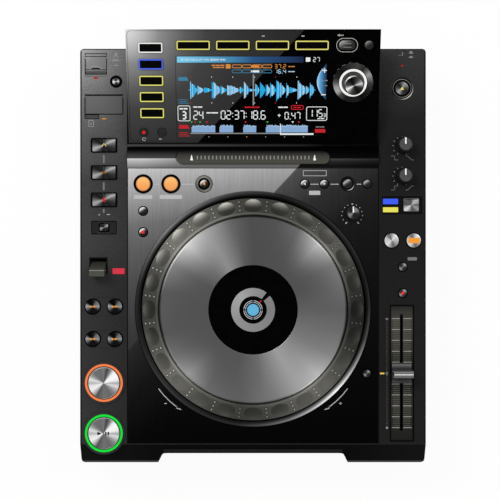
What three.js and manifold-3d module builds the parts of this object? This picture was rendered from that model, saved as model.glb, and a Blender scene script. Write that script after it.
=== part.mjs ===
// A tabletop disc player for DJs: a flat cabinet with a big jog wheel, a tilted display and rows of
// keys, knobs and a tempo slider. Millimetres, +X to the right, +Y to the rear, +Z up.
// The origin lies under the middle of the player, on the surface that the feet stand on.

import * as THREE from 'three';
import { mergeVertices } from 'three/addons/utils/BufferGeometryUtils.js';
import Module from 'manifold-3d';

const wasm = await Module();
wasm.setup();

// Driving dimensions of the cabinet
const plateWidth = 232.5;
const stripWidth = 43.75;
const deckHeight = 66.5;
const deckThickness = 4;
const plateThickness = 2;
const plateFrontInset = 1;
const sideWall = 2.5;
const cornerRadius = 3;
const chinDepth = 18.6;
const chinDrop = 10.5;
const footHeight = 6;
const chassisFloor = 1.5;
const chassisWallHeight = 5.5;
const clearance = 0.3;
const overrun = 3;
const mergeTolerance = 0.0005;

// Driving dimensions of the jog wheel
const surroundSideInset = 6.9;
const surroundFrontInset = 15.7;
const plateTopBand = 21.1;
const surroundWidth = 5.5;
const surroundHeight = 2.5;
const wellGap = 1.4;
const wellDepth = 18;
const wellWall = 2;
const rimWidth = 15.2;
const rimHeight = 14;
const rimEdgeHeight = 4.5;
const discRise = 15;
const hubRadius = 40.4;
const postRadius = 9;

// Driving dimensions of the display
const ridgeDepth = 19;
const ridgeHeight = 3;
const lipRun = 4.3;
const lipHeight = 5;
const panelWidth = 228.5;
const panelLength = 104;
const panelTilt = THREE.MathUtils.degToRad(19.7);
const displayOverhang = 10.7;
const panelThickness = 2;

// Sizes that follow from the driving dimensions
const bodyWidth = plateWidth + stripWidth * 2;
const surroundRadius = plateWidth / 2 - surroundSideInset;
const plateDepth = surroundFrontInset + surroundRadius * 2 + plateTopBand;
const panelRun = panelLength * Math.cos(panelTilt);
const panelRise = panelLength * Math.sin(panelTilt);
const deckDepth = plateDepth + ridgeDepth + lipRun + panelRun - displayOverhang;
const bodyDepth = chinDepth + deckDepth + displayOverhang;
const chinFrontY = -bodyDepth / 2;
const deckFrontY = chinFrontY + chinDepth;
const deckRearY = deckFrontY + deckDepth;
const plateRearY = deckFrontY + plateDepth;
const ridgeRearY = plateRearY + ridgeDepth;
const panelFrontY = ridgeRearY + lipRun;
const panelRearY = panelFrontY + panelRun;
const jogY = deckFrontY + surroundFrontInset + surroundRadius;
const wellRadius = surroundRadius - surroundWidth;
const wheelRadius = wellRadius - wellGap;
const leftStripX = -bodyWidth / 2;
const rightStripX = plateWidth / 2;
const deckUnderside = deckHeight - deckThickness;
const smallSides = 12;
const midSides = 18;
const largeSides = 28;
const wheelSides = 48;

// Colours, roughness and metalness of the materials
const finish = {
  charcoal: { color: 0x4a4c4e, roughness: 0.55, metalness: 0.1 },
  brushed: { color: 0x8d8f91, roughness: 0.35, metalness: 0.8 },
  black: { color: 0x141516, roughness: 0.5, metalness: 0 },
  glossBlack: { color: 0x08090a, roughness: 0.12, metalness: 0 },
  screen: { color: 0x0c1a26, roughness: 0.1, metalness: 0 },
  steel: { color: 0xb9bcbe, roughness: 0.3, metalness: 1 },
  silver: { color: 0xc9cbcc, roughness: 0.35, metalness: 0.6 },
  darkKey: { color: 0x2a2b2d, roughness: 0.45, metalness: 0.2 },
  orange: { color: 0xf08a1c, roughness: 0.4, metalness: 0 },
  rubber: { color: 0x1b1b1c, roughness: 0.85, metalness: 0 },
  circuit: { color: 0x1f5a35, roughness: 0.6, metalness: 0 },
};

// Turns a closed geometry into a solid for cutting and joining, with its faces pointing out
function toSolid(geometry) {
  const bare = geometry.clone();
  bare.deleteAttribute('normal');
  bare.deleteAttribute('uv');
  const merged = mergeVertices(bare, mergeTolerance);
  const corners = merged.index.array;
  const kept = [];
  for (let i = 0; i < corners.length; i += 3) {
    const [a, b, c] = corners.slice(i, i + 3);
    if (a !== b && b !== c && c !== a) {
      kept.push(a, b, c);
    }
  }
  const vertProperties = new Float32Array(merged.attributes.position.array);
  const outward = new wasm.Manifold(
    new wasm.Mesh({ numProp: 3, vertProperties, triVerts: new Uint32Array(kept) }),
  );
  if (outward.volume() > 0) {
    return outward;
  }
  kept.reverse();
  return new wasm.Manifold(
    new wasm.Mesh({ numProp: 3, vertProperties, triVerts: new Uint32Array(kept) }),
  );
}

function toGeometry(solid) {
  const mesh = solid.getMesh();
  const geometry = new THREE.BufferGeometry();
  geometry.setAttribute('position', new THREE.BufferAttribute(mesh.vertProperties, 3));
  geometry.setIndex(new THREE.BufferAttribute(mesh.triVerts, 1));
  geometry.computeVertexNormals();
  return geometry;
}

function join(...solids) {
  return solids.reduce((whole, next) => whole.add(next));
}

function cut(body, ...cutters) {
  return cutters.reduce((whole, next) => whole.subtract(next), body);
}

function moved(solid, x, y, z) {
  return solid.translate([x, y, z]);
}

// A block centred on x and y between two heights
function block(width, depth, bottom, top, x = 0, y = 0) {
  const geometry = new THREE.BoxGeometry(width, depth, top - bottom);
  geometry.translate(x, y, (bottom + top) / 2);
  return toSolid(geometry);
}

function cylinder(radius, bottom, top, x = 0, y = 0, sides = smallSides) {
  const geometry = new THREE.CylinderGeometry(radius, radius, top - bottom, sides);
  geometry.rotateX(Math.PI / 2);
  geometry.translate(x, y, (bottom + top) / 2);
  return toSolid(geometry);
}

// A rod along X
function crossRod(radius, length, y, z, x = 0) {
  const geometry = new THREE.CylinderGeometry(radius, radius, length, smallSides);
  geometry.rotateZ(Math.PI / 2);
  geometry.translate(x, y, z);
  return toSolid(geometry);
}

// A profile of [radius, height] points turned about the Z axis
function turned(profile, sides = smallSides) {
  const points = profile.map(([radius, height]) => new THREE.Vector2(radius, height));
  const geometry = new THREE.LatheGeometry(points, sides);
  geometry.rotateX(Math.PI / 2);
  return toSolid(geometry);
}

// A profile of [y, z] points carried along X
function sideProfile(profile, width, x = 0) {
  const shape = new THREE.Shape(profile.map(([y, z]) => new THREE.Vector2(y, z)));
  const geometry = new THREE.ExtrudeGeometry(shape, { depth: width, bevelEnabled: false });
  geometry.translate(0, 0, -width / 2);
  const along = new THREE.Matrix4().makeBasis(
    new THREE.Vector3(0, 1, 0),
    new THREE.Vector3(0, 0, 1),
    new THREE.Vector3(1, 0, 0),
  );
  geometry.applyMatrix4(along);
  geometry.translate(x, 0, 0);
  return toSolid(geometry);
}

// A rectangle with round corners, centred on x and y, between two heights
function roundedBlock(width, depth, radius, bottom, top, x = 0, y = 0, arcSteps = 1) {
  const shape = new THREE.Shape();
  const right = width / 2 - radius;
  const rear = depth / 2 - radius;
  shape.absarc(right, rear, radius, 0, Math.PI / 2);
  shape.absarc(-right, rear, radius, Math.PI / 2, Math.PI);
  shape.absarc(-right, -rear, radius, Math.PI, Math.PI * 1.5);
  shape.absarc(right, -rear, radius, Math.PI * 1.5, Math.PI * 2);
  const geometry = new THREE.ExtrudeGeometry(shape, {
    depth: top - bottom,
    bevelEnabled: false,
    curveSegments: arcSteps,
  });
  geometry.translate(x, y, bottom);
  return toSolid(geometry);
}

// The height of the cabinet's top over a point in front of or on the deck
function topAt(y) {
  const forward = Math.max(deckFrontY - y, 0);
  return deckHeight - (chinDrop * forward) / chinDepth;
}

// Places on the deck, from shares of the strip or plate and of the deck's depth
function onLeftStrip([acrossShare, alongShare]) {
  return [leftStripX + acrossShare * stripWidth, deckFrontY + alongShare * deckDepth];
}

function onRightStrip([acrossShare, alongShare]) {
  return [rightStripX + acrossShare * stripWidth, deckFrontY + alongShare * deckDepth];
}

function onPlate([acrossShare, alongShare]) {
  return [(acrossShare - 0.5) * plateWidth, deckFrontY + alongShare * plateDepth];
}

// A place beside the jog wheel, at an angle about its axis and outside its surround
function besideJog(angle, gap) {
  const reach = surroundRadius + gap;
  return [reach * Math.cos(angle), jogY + reach * Math.sin(angle)];
}

const placeShares = {
  usbDoor: [0.327, 0.962],
  usbStop: [0.759, 0.917],
  sdDoor: [0.5, 0.859],
  hotCueA: [0.505, 0.756],
  hotCueB: [0.505, 0.687],
  hotCueC: [0.505, 0.618],
  recall: [0.505, 0.548],
  lever: [0.385, 0.452],
  trackBack: [0.265, 0.348],
  trackForward: [0.736, 0.348],
  searchBack: [0.265, 0.266],
  searchForward: [0.736, 0.266],
  cue: [0.503, 0.155],
  play: [0.503, 0.0277],
  loopIn: [0.0626, 0.943],
  loopOut: [0.173, 0.943],
  reloop: [0.305, 0.943],
  loopMode: [0.0626, 0.845],
  slip: [0.0626, 0.768],
  callBack: [0.706, 0.943],
  callForward: [0.784, 0.943],
  delete: [0.877, 0.943],
  memory: [0.955, 0.943],
  eject: [0.495, 0.9],
  brake: [0.537, 0.756],
  start: [0.537, 0.678],
  jogModePanel: [0.511, 0.605],
  jogMode: [0.69, 0.605],
  sync: [0.273, 0.515],
  master: [0.742, 0.515],
  tempoRange: [0.512, 0.448],
  masterTempo: [0.512, 0.382],
  fader: [0.49, 0.18],
};

// Round push buttons in the deck: [name, place, cap radius, cap height, finish]
const smallCap = { radius: 3.7, height: 1.2 };
const midCap = { radius: 6.7, height: 1.6 };
const recessedCap = { radius: 4.3, height: 0.4 };
const largeCap = { radius: 14.2, height: 2.5 };
const flangeOverlap = 1;
const flangeThickness = 1.2;
const capBevel = 0.5;
const jogAdjustAngle = THREE.MathUtils.degToRad(43.9);
const jogAdjustGap = 18.6;
const tempoResetAngle = THREE.MathUtils.degToRad(-29.5);
const tempoResetGap = 11.8;
const tempoResetCap = { radius: 3.3, height: 0.8 };
const ejectCap = { radius: 6.2, height: 1 };
const roundButtons = [
  ['usb_stop_button', onLeftStrip(placeShares.usbStop), tempoResetCap, 'darkKey'],
  ['track_search_back', onLeftStrip(placeShares.trackBack), midCap, 'darkKey'],
  ['track_search_forward', onLeftStrip(placeShares.trackForward), midCap, 'darkKey'],
  ['search_back', onLeftStrip(placeShares.searchBack), midCap, 'darkKey'],
  ['search_forward', onLeftStrip(placeShares.searchForward), midCap, 'darkKey'],
  ['cue_button', onLeftStrip(placeShares.cue), largeCap, 'steel'],
  ['play_button', onLeftStrip(placeShares.play), largeCap, 'steel'],
  ['loop_in_button', onPlate(placeShares.loopIn), midCap, 'orange'],
  ['loop_out_button', onPlate(placeShares.loopOut), midCap, 'orange'],
  ['reloop_button', onPlate(placeShares.reloop), smallCap, 'darkKey'],
  ['loop_mode_button', onPlate(placeShares.loopMode), smallCap, 'darkKey'],
  ['slip_button', onPlate(placeShares.slip), smallCap, 'darkKey'],
  ['call_back_button', onPlate(placeShares.callBack), smallCap, 'darkKey'],
  ['call_forward_button', onPlate(placeShares.callForward), smallCap, 'darkKey'],
  ['delete_button', onPlate(placeShares.delete), recessedCap, 'darkKey'],
  ['memory_button', onPlate(placeShares.memory), smallCap, 'darkKey'],
  ['tempo_reset_button', besideJog(tempoResetAngle, tempoResetGap), tempoResetCap, 'darkKey'],
  ['eject_button', onRightStrip(placeShares.eject), ejectCap, 'darkKey'],
  ['sync_button', onRightStrip(placeShares.sync), midCap, 'darkKey'],
  ['master_button', onRightStrip(placeShares.master), midCap, 'darkKey'],
  ['tempo_range_button', onRightStrip(placeShares.tempoRange), smallCap, 'darkKey'],
  ['master_tempo_button', onRightStrip(placeShares.masterTempo), smallCap, 'darkKey'],
];

// Four-sided push buttons in the deck
const hotCueKey = { width: 21.3, depth: 11.7, radius: 1.5, height: 1.2 };
const recallKey = { width: 7.6, depth: 6.8, radius: 1, height: 0.8 };
const jogModeKey = { width: 13.8, depth: 11.4, radius: 1.5, height: 1 };
const cornerButtons = [
  ['hot_cue_a', onLeftStrip(placeShares.hotCueA), hotCueKey],
  ['hot_cue_b', onLeftStrip(placeShares.hotCueB), hotCueKey],
  ['hot_cue_c', onLeftStrip(placeShares.hotCueC), hotCueKey],
  ['recall_key', onLeftStrip(placeShares.recall), recallKey],
  ['jog_mode_button', onRightStrip(placeShares.jogMode), jogModeKey],
];

// Rotary knobs on the deck, on shafts that pass through it
const knobShaftRadius = 3;
const knobSkirtHeight = 3;
const startKnob = { skirt: 8, top: 5.9, height: 13.5 };
const adjustKnob = { skirt: 6.6, top: 5.8, height: 9 };
const knobs = [
  ['brake_knob', onRightStrip(placeShares.brake), startKnob],
  ['start_knob', onRightStrip(placeShares.start), startKnob],
  ['jog_adjust_knob', besideJog(jogAdjustAngle, jogAdjustGap), adjustKnob],
];

const player = new THREE.Group();

// Adds one named sub-part with its own material
function addPart(name, solid, finishName, parent = player) {
  const material = new THREE.MeshStandardMaterial(finish[finishName]);
  const mesh = new THREE.Mesh(toGeometry(solid), material);
  mesh.name = name;
  parent.add(mesh);
  return mesh;
}

// Sizes of the front recess and of the disc slot in it
const recessBack = 8.4;
const recessWidth = 166.8;
const recessFlare = 5.05;
const frontPanelThickness = 3;
const slotWidth = 128;
const slotHeight = 5;
const slotFlare = 1.5;
const recessY = deckFrontY - recessBack;
const driveWidth = 146;
const driveDepth = 160;
const driveHeight = 15;
const driveTop = deckHeight - wellDepth - wellWall - clearance;
const slotZ = driveTop - driveHeight / 2;

// Sizes of the doors over the USB and SD sockets
const usbDoor = { width: 19.6, depth: 14 };
const sdDoor = { width: 34.2, depth: 16.8 };
const doorThickness = 1.4;
const doorSink = 0.4;
const doorBarrelRadius = 1.2;
const doorPinRadius = 0.8;
const doorPinLength = 1.5;
const usbThumbRecess = 5;
const sdThumbRecess = { width: 12, depth: 4 };
const socketWall = 2;
const usbSocket = { width: 13, depth: 6, reach: 16 };
const sdSocket = { width: 25, depth: 2.8, reach: 16 };
const doorWellDepth = 5.5;
const socketFloor = 1.5;
const carrierBridge = { width: 11, thickness: 3 };

// Sizes of the direction lever
const leverWidth = 13.6;
const leverDepth = 7;
const leverTop = 15;
const leverLean = THREE.MathUtils.degToRad(20);
const leverRecess = { width: 17, depth: 15, sink: 1.2 };
const leverPinRadius = 1.6;
const leverEar = 2.5;
const leverPinDrop = 2.2;
const leverSlotDepth = 12;

// Sizes of the tempo slider and its slot
const faderRecess = { width: 21.4, depth: 125.5, sink: 1.2 };
const faderSlotWidth = 3;
const faderTravel = 100;
const sliderBase = { width: 18, depth: 19.6, height: 2.6 };
const sliderRidge = { depth: 7, height: 16.5 };
const sliderStem = { width: 2.2, depth: 5 };
const sliderCarriage = { width: 9, depth: 9, height: 2 };

// Sizes of the cue and play bosses, and of the jog-mode panel
const bossRadius = 19.8;
const bossRise = 0.8;
const bossReach = 9;
const jogModeRecess = { width: 37.8, depth: 17.6, sink: 0.6 };
const postRadiusDeck = 4;
const postInset = 9;
const postRearInset = 32;
const postMiddleShare = 0.44;

// Caps of a larger radius get more sides
function sidesFor(radius) {
  if (radius > midCap.radius) {
    return largeSides;
  }
  return radius > recessedCap.radius ? midSides : smallSides;
}

function roundHole([x, y], radius) {
  const sides = sidesFor(radius);
  return cylinder(radius + clearance, deckUnderside - overrun, deckHeight + overrun, x, y, sides);
}

// The wider bores under the cue and play caps, where their flanges move in the bosses
function bossBores() {
  const radius = largeCap.radius + flangeOverlap + clearance;
  const bottom = deckHeight - bossReach - overrun;
  return [placeShares.cue, placeShares.play].map((share) => {
    const [x, y] = onLeftStrip(share);
    return cylinder(radius, bottom, deckUnderside, x, y, largeSides);
  });
}

function buttonHoles() {
  const round = roundButtons.map(([, place, cap]) => roundHole(place, cap.radius));
  const cornered = cornerButtons.map(([, [x, y], key]) =>
    roundedBlock(
      key.width + clearance * 2,
      key.depth + clearance * 2,
      key.radius,
      deckUnderside - overrun,
      deckHeight + overrun,
      x,
      y,
    ),
  );
  const shafts = knobs.map(([, place]) => roundHole(place, knobShaftRadius));
  return [...round, ...cornered, ...shafts];
}

// The outline of the cabinet: a straight deck with a sloping chin in front
function cabinetOutline() {
  const profile = [
    [deckRearY, footHeight],
    [deckRearY, deckHeight],
    [deckFrontY, deckHeight],
    [chinFrontY, topAt(chinFrontY)],
    [chinFrontY, footHeight],
  ];
  const depth = deckRearY - chinFrontY;
  const middleY = (deckRearY + chinFrontY) / 2;
  const plan = roundedBlock(bodyWidth, depth, cornerRadius, 0, deckHeight + overrun, 0, middleY);
  return sideProfile(profile, bodyWidth).intersect(plan);
}

function cabinetCavity() {
  const profile = [
    [deckRearY + overrun, -overrun],
    [deckRearY + overrun, deckUnderside],
    [deckFrontY, deckUnderside],
    [chinFrontY + sideWall, topAt(chinFrontY + sideWall) - deckThickness],
    [chinFrontY + sideWall, -overrun],
  ];
  return sideProfile(profile, bodyWidth - sideWall * 2);
}

// The opening in the chin that holds the front panel, with slanted cheeks in front of it
function chinOpening() {
  const seatY = recessY + frontPanelThickness + clearance;
  const frontY = chinFrontY - overrun;
  const flareWidth = (recessFlare * (recessY - frontY)) / (recessY - chinFrontY);
  const half = recessWidth / 2;
  const shape = new THREE.Shape([
    new THREE.Vector2(-half, seatY),
    new THREE.Vector2(-half, recessY),
    new THREE.Vector2(-half - flareWidth, frontY),
    new THREE.Vector2(half + flareWidth, frontY),
    new THREE.Vector2(half, recessY),
    new THREE.Vector2(half, seatY),
  ]);
  const height = deckHeight + overrun;
  return toSolid(new THREE.ExtrudeGeometry(shape, { depth: height, bevelEnabled: false }));
}

// The solid cheeks beside the front recess, which close the chin's hollow corners
function recessCheeks() {
  const half = recessWidth / 2;
  const reach = recessFlare + sideWall;
  return [-1, 1].map((side) => {
    const shape = new THREE.Shape([
      new THREE.Vector2(side * half, recessY + frontPanelThickness),
      new THREE.Vector2(side * half, chinFrontY),
      new THREE.Vector2(side * (half + reach), chinFrontY),
      new THREE.Vector2(side * (half + reach), recessY + frontPanelThickness),
    ]);
    const bar = new THREE.ExtrudeGeometry(shape, { depth: deckHeight, bevelEnabled: false });
    return toSolid(bar);
  });
}

// The heights of a socket door's seat and of its hinge, and the hinge's line
function doorHinge([, y], door) {
  return {
    seat: deckHeight - doorSink - doorThickness - clearance,
    y: y + door.depth / 2 - doorBarrelRadius,
    z: deckHeight - doorSink - doorBarrelRadius,
  };
}

function doorBarrelBore(place, door) {
  const hinge = doorHinge(place, door);
  return crossRod(doorBarrelRadius + clearance, door.width + clearance * 2, hinge.y, hinge.z, place[0]);
}

// The hole in the deck for a socket door, with the bores of its hinge
function doorCuts(place, door) {
  const [x, y] = place;
  const hinge = doorHinge(place, door);
  const gap = clearance * 2;
  const pinSpan = door.width + doorPinLength * 2 + gap;
  return [
    block(door.width + gap, door.depth + gap, deckUnderside - overrun, deckHeight + overrun, x, y),
    doorBarrelBore(place, door),
    crossRod(doorPinRadius + clearance, pinSpan, hinge.y, hinge.z, x),
  ];
}

function leverEars() {
  const [x, y] = onLeftStrip(placeShares.lever);
  const pinZ = deckUnderside - leverPinDrop;
  const offset = leverWidth / 2 + clearance + leverEar / 2;
  const drop = leverPinRadius + clearance + leverEar;
  return [-1, 1].map((side) => {
    const ear = block(leverEar, drop * 2, pinZ - drop, deckUnderside + overrun / 2, x + side * offset, y);
    return ear;
  });
}

function leverCuts() {
  const [x, y] = onLeftStrip(placeShares.lever);
  const pinZ = deckUnderside - leverPinDrop;
  const sink = deckHeight - leverRecess.sink;
  const slotWide = leverWidth + clearance * 2;
  const pinSpan = slotWide + leverEar * 2 + overrun;
  return [
    block(leverRecess.width, leverRecess.depth, sink, deckHeight + overrun, x, y),
    block(slotWide, leverSlotDepth, deckUnderside - overrun, deckHeight, x, y),
    crossRod(leverPinRadius + clearance, pinSpan, y, pinZ, x),
  ];
}

function faderCuts() {
  const [x, y] = onRightStrip(placeShares.fader);
  const sink = deckHeight - faderRecess.sink;
  const slotDepth = faderTravel + sliderStem.depth + clearance * 4;
  return [
    block(faderRecess.width, faderRecess.depth, sink, deckHeight + overrun, x, y),
    block(faderSlotWidth, slotDepth, deckUnderside - overrun, deckHeight, x, y),
  ];
}

function thumbCuts() {
  const [usbX, usbY] = onLeftStrip(placeShares.usbDoor);
  const [sdX, sdY] = onLeftStrip(placeShares.sdDoor);
  const sink = deckHeight - doorSink - doorThickness - clearance;
  const usbFrontY = usbY - usbDoor.depth / 2 - usbThumbRecess / 2;
  const sdFrontY = sdY - sdDoor.depth / 2 - sdThumbRecess.depth / 2;
  const sdTabX = sdX - sdDoor.width / 2 + sdThumbRecess.width / 2;
  const top = deckHeight + overrun;
  return [
    block(usbDoor.width, usbThumbRecess, sink, top, usbX, usbFrontY),
    block(sdThumbRecess.width, sdThumbRecess.depth, sink, top, sdTabX, sdFrontY),
  ];
}

// Posts that carry the cabinet on the chassis floor
function cabinetPosts() {
  const sideX = bodyWidth / 2 - sideWall - postInset;
  const frontY = recessY + frontPanelThickness + postInset;
  const rearY = deckRearY - postRearInset;
  const rows = [frontY, frontY + (rearY - frontY) * postMiddleShare, rearY];
  const bottom = footHeight + chassisFloor;
  const top = deckUnderside + overrun / 2;
  return rows.flatMap((y) => [-1, 1].map((side) => cylinder(postRadiusDeck, bottom, top, side * sideX, y)));
}

function bosses() {
  const top = deckHeight + bossRise;
  return [placeShares.cue, placeShares.play].map((share) => {
    const [x, y] = onLeftStrip(share);
    return cylinder(bossRadius, deckHeight - bossReach, top, x, y, largeSides);
  });
}

function upperCabinet() {
  const wellBottom = deckHeight - wellDepth;
  const [panelX, panelY] = onRightStrip(placeShares.jogModePanel);
  const shell = join(
    cut(cabinetOutline(), cabinetCavity()),
    cylinder(wellRadius + wellWall, wellBottom - wellWall, deckUnderside + overrun / 2, 0, jogY, wheelSides),
    ...recessCheeks().map((bar) => bar.intersect(cabinetOutline())),
    ...bosses(),
    ...cabinetPosts(),
    ...leverEars(),
  );
  const pocketY = (deckFrontY + plateFrontInset + plateRearY) / 2;
  const pocketDepth = plateDepth - plateFrontInset;
  return cut(
    shell,
    chinOpening(),
    block(plateWidth, pocketDepth, deckHeight - plateThickness, deckHeight + overrun, 0, pocketY),
    cylinder(wellRadius, wellBottom, deckHeight + overrun, 0, jogY, wheelSides),
    block(
      jogModeRecess.width,
      jogModeRecess.depth,
      deckHeight - jogModeRecess.sink,
      deckHeight + overrun,
      panelX,
      panelY,
    ),
    ...buttonHoles(),
    ...bossBores(),
    ...doorCuts(onLeftStrip(placeShares.usbDoor), usbDoor),
    ...doorCuts(onLeftStrip(placeShares.sdDoor), sdDoor),
    ...thumbCuts(),
    ...leverCuts(),
    ...faderCuts(),
  );
}

// One half of the carrier: a block under the deck, with a collar in the deck that the door rests on
function carrierBlock([x, y], door, socket) {
  const depth = doorWellDepth + socket.reach + socketFloor;
  const wide = Math.max(door.width, socket.width) + socketWall * 2;
  const top = deckUnderside - clearance;
  const seat = doorHinge([x, y], door).seat;
  return join(
    block(wide, door.depth + socketWall * 2, deckHeight - depth, top, x, y),
    block(door.width, door.depth, top - socketFloor, seat, x, y),
  );
}

// The well under a door and the socket in its floor
function carrierCuts(place, door, socket) {
  const [x, y] = place;
  const wellY = y - doorBarrelRadius;
  const wellWide = door.width - socketWall;
  const wellLong = door.depth - socketWall - doorBarrelRadius * 2;
  const wellFloor = deckHeight - doorWellDepth - doorThickness;
  const socketEnd = deckHeight - doorWellDepth - socket.reach;
  return [
    block(wellWide, wellLong, wellFloor, deckHeight, x, wellY),
    block(socket.width, socket.depth, socketEnd, deckHeight, x, wellY),
    doorBarrelBore(place, door),
  ];
}

// The moulding under the deck that holds the USB and SD sockets
function socketCarrier() {
  const usbPlace = onLeftStrip(placeShares.usbDoor);
  const sdPlace = onLeftStrip(placeShares.sdDoor);
  const top = deckUnderside - clearance;
  const middle = leftStripX + stripWidth / 2;
  const span = usbPlace[1] - sdPlace[1];
  const bridgeY = (usbPlace[1] + sdPlace[1]) / 2;
  const bridge = block(carrierBridge.width, span, top - carrierBridge.thickness, top, middle, bridgeY);
  const insideX = leftStripX + sideWall + clearance;
  const room = block(stripWidth, span * 2, 0, deckHeight, insideX + stripWidth / 2, bridgeY);
  const whole = join(
    bridge,
    carrierBlock(usbPlace, usbDoor, usbSocket),
    carrierBlock(sdPlace, sdDoor, sdSocket),
  );
  return cut(
    whole.intersect(room),
    ...carrierCuts(usbPlace, usbDoor, usbSocket),
    ...carrierCuts(sdPlace, sdDoor, sdSocket),
  );
}

// The brushed plate in the middle of the deck, with the raised surround of the jog wheel
function centrePanel() {
  const frontY = deckFrontY + plateFrontInset + clearance;
  const depth = plateRearY - clearance - frontY;
  const middleY = frontY + depth / 2;
  const bottom = deckHeight - plateThickness;
  const sheet = block(plateWidth - clearance * 2, depth, bottom, deckHeight, 0, middleY);
  const outerTop = surroundRadius - capBevel * 2;
  const innerRadius = wellRadius + clearance;
  const surround = turned(
    [
      [innerRadius, bottom],
      [surroundRadius, bottom],
      [surroundRadius, deckHeight + capBevel],
      [outerTop, deckHeight + surroundHeight],
      [innerRadius, deckHeight + surroundHeight - capBevel],
      [innerRadius, bottom],
    ],
    wheelSides,
  );
  const opening = cylinder(innerRadius, bottom - overrun, deckHeight + overrun, 0, jogY, wheelSides);
  const whole = join(sheet, moved(surround, 0, jogY, 0));
  return cut(whole, opening, ...buttonHoles());
}

function frontPanel() {
  const rearY = recessY + frontPanelThickness;
  const profile = [
    [recessY, footHeight],
    [recessY, topAt(recessY)],
    [rearY, topAt(rearY)],
    [rearY, footHeight],
  ];
  const body = sideProfile(profile, recessWidth - clearance * 2);
  const middleY = (recessY + rearY) / 2;
  const half = slotHeight / 2;
  const slot = block(slotWidth, frontPanelThickness + overrun, slotZ - half, slotZ + half, 0, middleY);
  const mouth = sideProfile(
    [
      [recessY - overrun / 2, slotZ - half - slotFlare - overrun / 2],
      [recessY - overrun / 2, slotZ + half + slotFlare + overrun / 2],
      [recessY + slotFlare, slotZ + half],
      [recessY + slotFlare, slotZ - half],
    ],
    slotWidth,
  );
  return cut(body, slot, mouth);
}

// The folded steel tray under the player
const chassisSideGap = sideWall + clearance;
const boardPostHeight = 9;
const boardThickness = 1.6;
const board = { width: 210, depth: 92 };
const standoffRadius = 4;
const standoffInset = 8;
const rearPanelThickness = 2;

const chassis = {
  width: bodyWidth - chassisSideGap * 2,
  frontY: recessY + frontPanelThickness + clearance,
  rearY: deckRearY - rearPanelThickness - clearance,
};
const boardY = chassis.rearY - chassisFloor - clearance * 2 - board.depth / 2;
const driveY = recessY + frontPanelThickness + clearance * 2 + driveDepth / 2;
const driveBottom = driveTop - driveHeight;

function standoffs(width, depth, y, top) {
  const x = width / 2 - standoffInset;
  const reach = depth / 2 - standoffInset;
  const corners = [-1, 1].flatMap((side) => [-1, 1].map((end) => [side * x, y + end * reach]));
  return corners.map(([postX, postY]) =>
    cylinder(standoffRadius, footHeight + chassisFloor / 2, top, postX, postY),
  );
}

// The floor plates that close the cabinet's front corners, beside the recess
function chassisCorners() {
  const innerX = recessWidth / 2 + recessFlare + chassisSideGap;
  const width = chassis.width / 2 - innerX;
  const frontY = chinFrontY + chassisSideGap;
  const depth = chassis.frontY + chassisFloor - frontY;
  const top = footHeight + chassisFloor;
  return [-1, 1].map((side) => {
    const x = side * (innerX + width / 2);
    return block(width, depth, footHeight, top, x, frontY + depth / 2);
  });
}

function lowerChassis() {
  const depth = chassis.rearY - chassis.frontY;
  const middleY = (chassis.rearY + chassis.frontY) / 2;
  const floorTop = footHeight + chassisFloor;
  const tray = block(chassis.width, depth, footHeight, footHeight + chassisWallHeight, 0, middleY);
  const hollow = block(
    chassis.width - chassisFloor * 2,
    depth - chassisFloor * 2,
    floorTop,
    footHeight + chassisWallHeight + overrun,
    0,
    middleY,
  );
  return join(
    cut(tray, hollow),
    ...chassisCorners(),
    ...standoffs(driveWidth, driveDepth, driveY, driveBottom),
    ...standoffs(board.width, board.depth, boardY, floorTop + boardPostHeight),
  );
}

function mainBoard() {
  const bottom = footHeight + chassisFloor + boardPostHeight;
  return block(board.width, board.depth, bottom, bottom + boardThickness, 0, boardY);
}

// The slot-loading drive, open at the front for the disc
const driveWall = 2.5;

function discDrive() {
  const body = block(driveWidth, driveDepth, driveBottom, driveTop, 0, driveY);
  const half = slotHeight / 2;
  const bayDepth = driveDepth - driveWall + overrun;
  const bayY = driveY - driveWall / 2 - overrun / 2;
  return cut(body, block(slotWidth, bayDepth, slotZ - half, slotZ + half, 0, bayY));
}

// Rubber feet
const foot = { radius: 14, waist: 12.5, inset: 34 };

function rubberFoot() {
  return turned([
    [0, 0],
    [foot.waist, 0],
    [foot.radius, footHeight / 3],
    [foot.radius, footHeight],
    [0, footHeight],
  ]);
}

function addFeet() {
  const x = bodyWidth / 2 - foot.inset;
  const frontY = chassis.frontY + foot.inset;
  const rearY = chassis.rearY - foot.inset;
  const corners = { front_left: [-x, frontY], front_right: [x, frontY], rear_left: [-x, rearY], rear_right: [x, rearY] };
  for (const [corner, [footX, footY]] of Object.entries(corners)) {
    addPart(`foot_${corner}`, moved(rubberFoot(), footX, footY, 0), 'rubber');
  }
}

// The rear panel with its sockets. Each socket is a hollow in a block behind the panel.
const rearSocketWall = 1.5;
const inletSocket = { width: 26, height: 19, reach: 16 };
const networkSocket = { width: 12, height: 7.5, reach: 13 };
const usbRearSocket = { width: 8.6, height: 8, reach: 12 };
const audioJack = { radius: 4.15, bore: 1.7, reach: 8.5, base: 6, baseRise: 1.5 };
const controlJack = { radius: 4, bore: 1.8, reach: 3, base: 5, baseRise: 1 };
const powerKey = { width: 13, height: 9, reach: 2.8, flange: 1.2, grip: 1 };
const rearShares = {
  power: [0.9, 0.66],
  inlet: [0.9, 0.33],
  network: [0.42, 0.5],
  usb: [0.34, 0.5],
  control: [0.26, 0.5],
  audioLeft: [0.16, 0.66],
  audioRight: [0.16, 0.36],
  digital: [0.205, 0.5],
};
const rearPanelWidth = bodyWidth - chassisSideGap * 2;
const rearPanelTop = deckUnderside - clearance;

// Places on the rear panel, counted from its left end as seen from behind
function onRearPanel([acrossShare, upShare]) {
  return [(0.5 - acrossShare) * rearPanelWidth, footHeight + upShare * (rearPanelTop - footHeight)];
}

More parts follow.
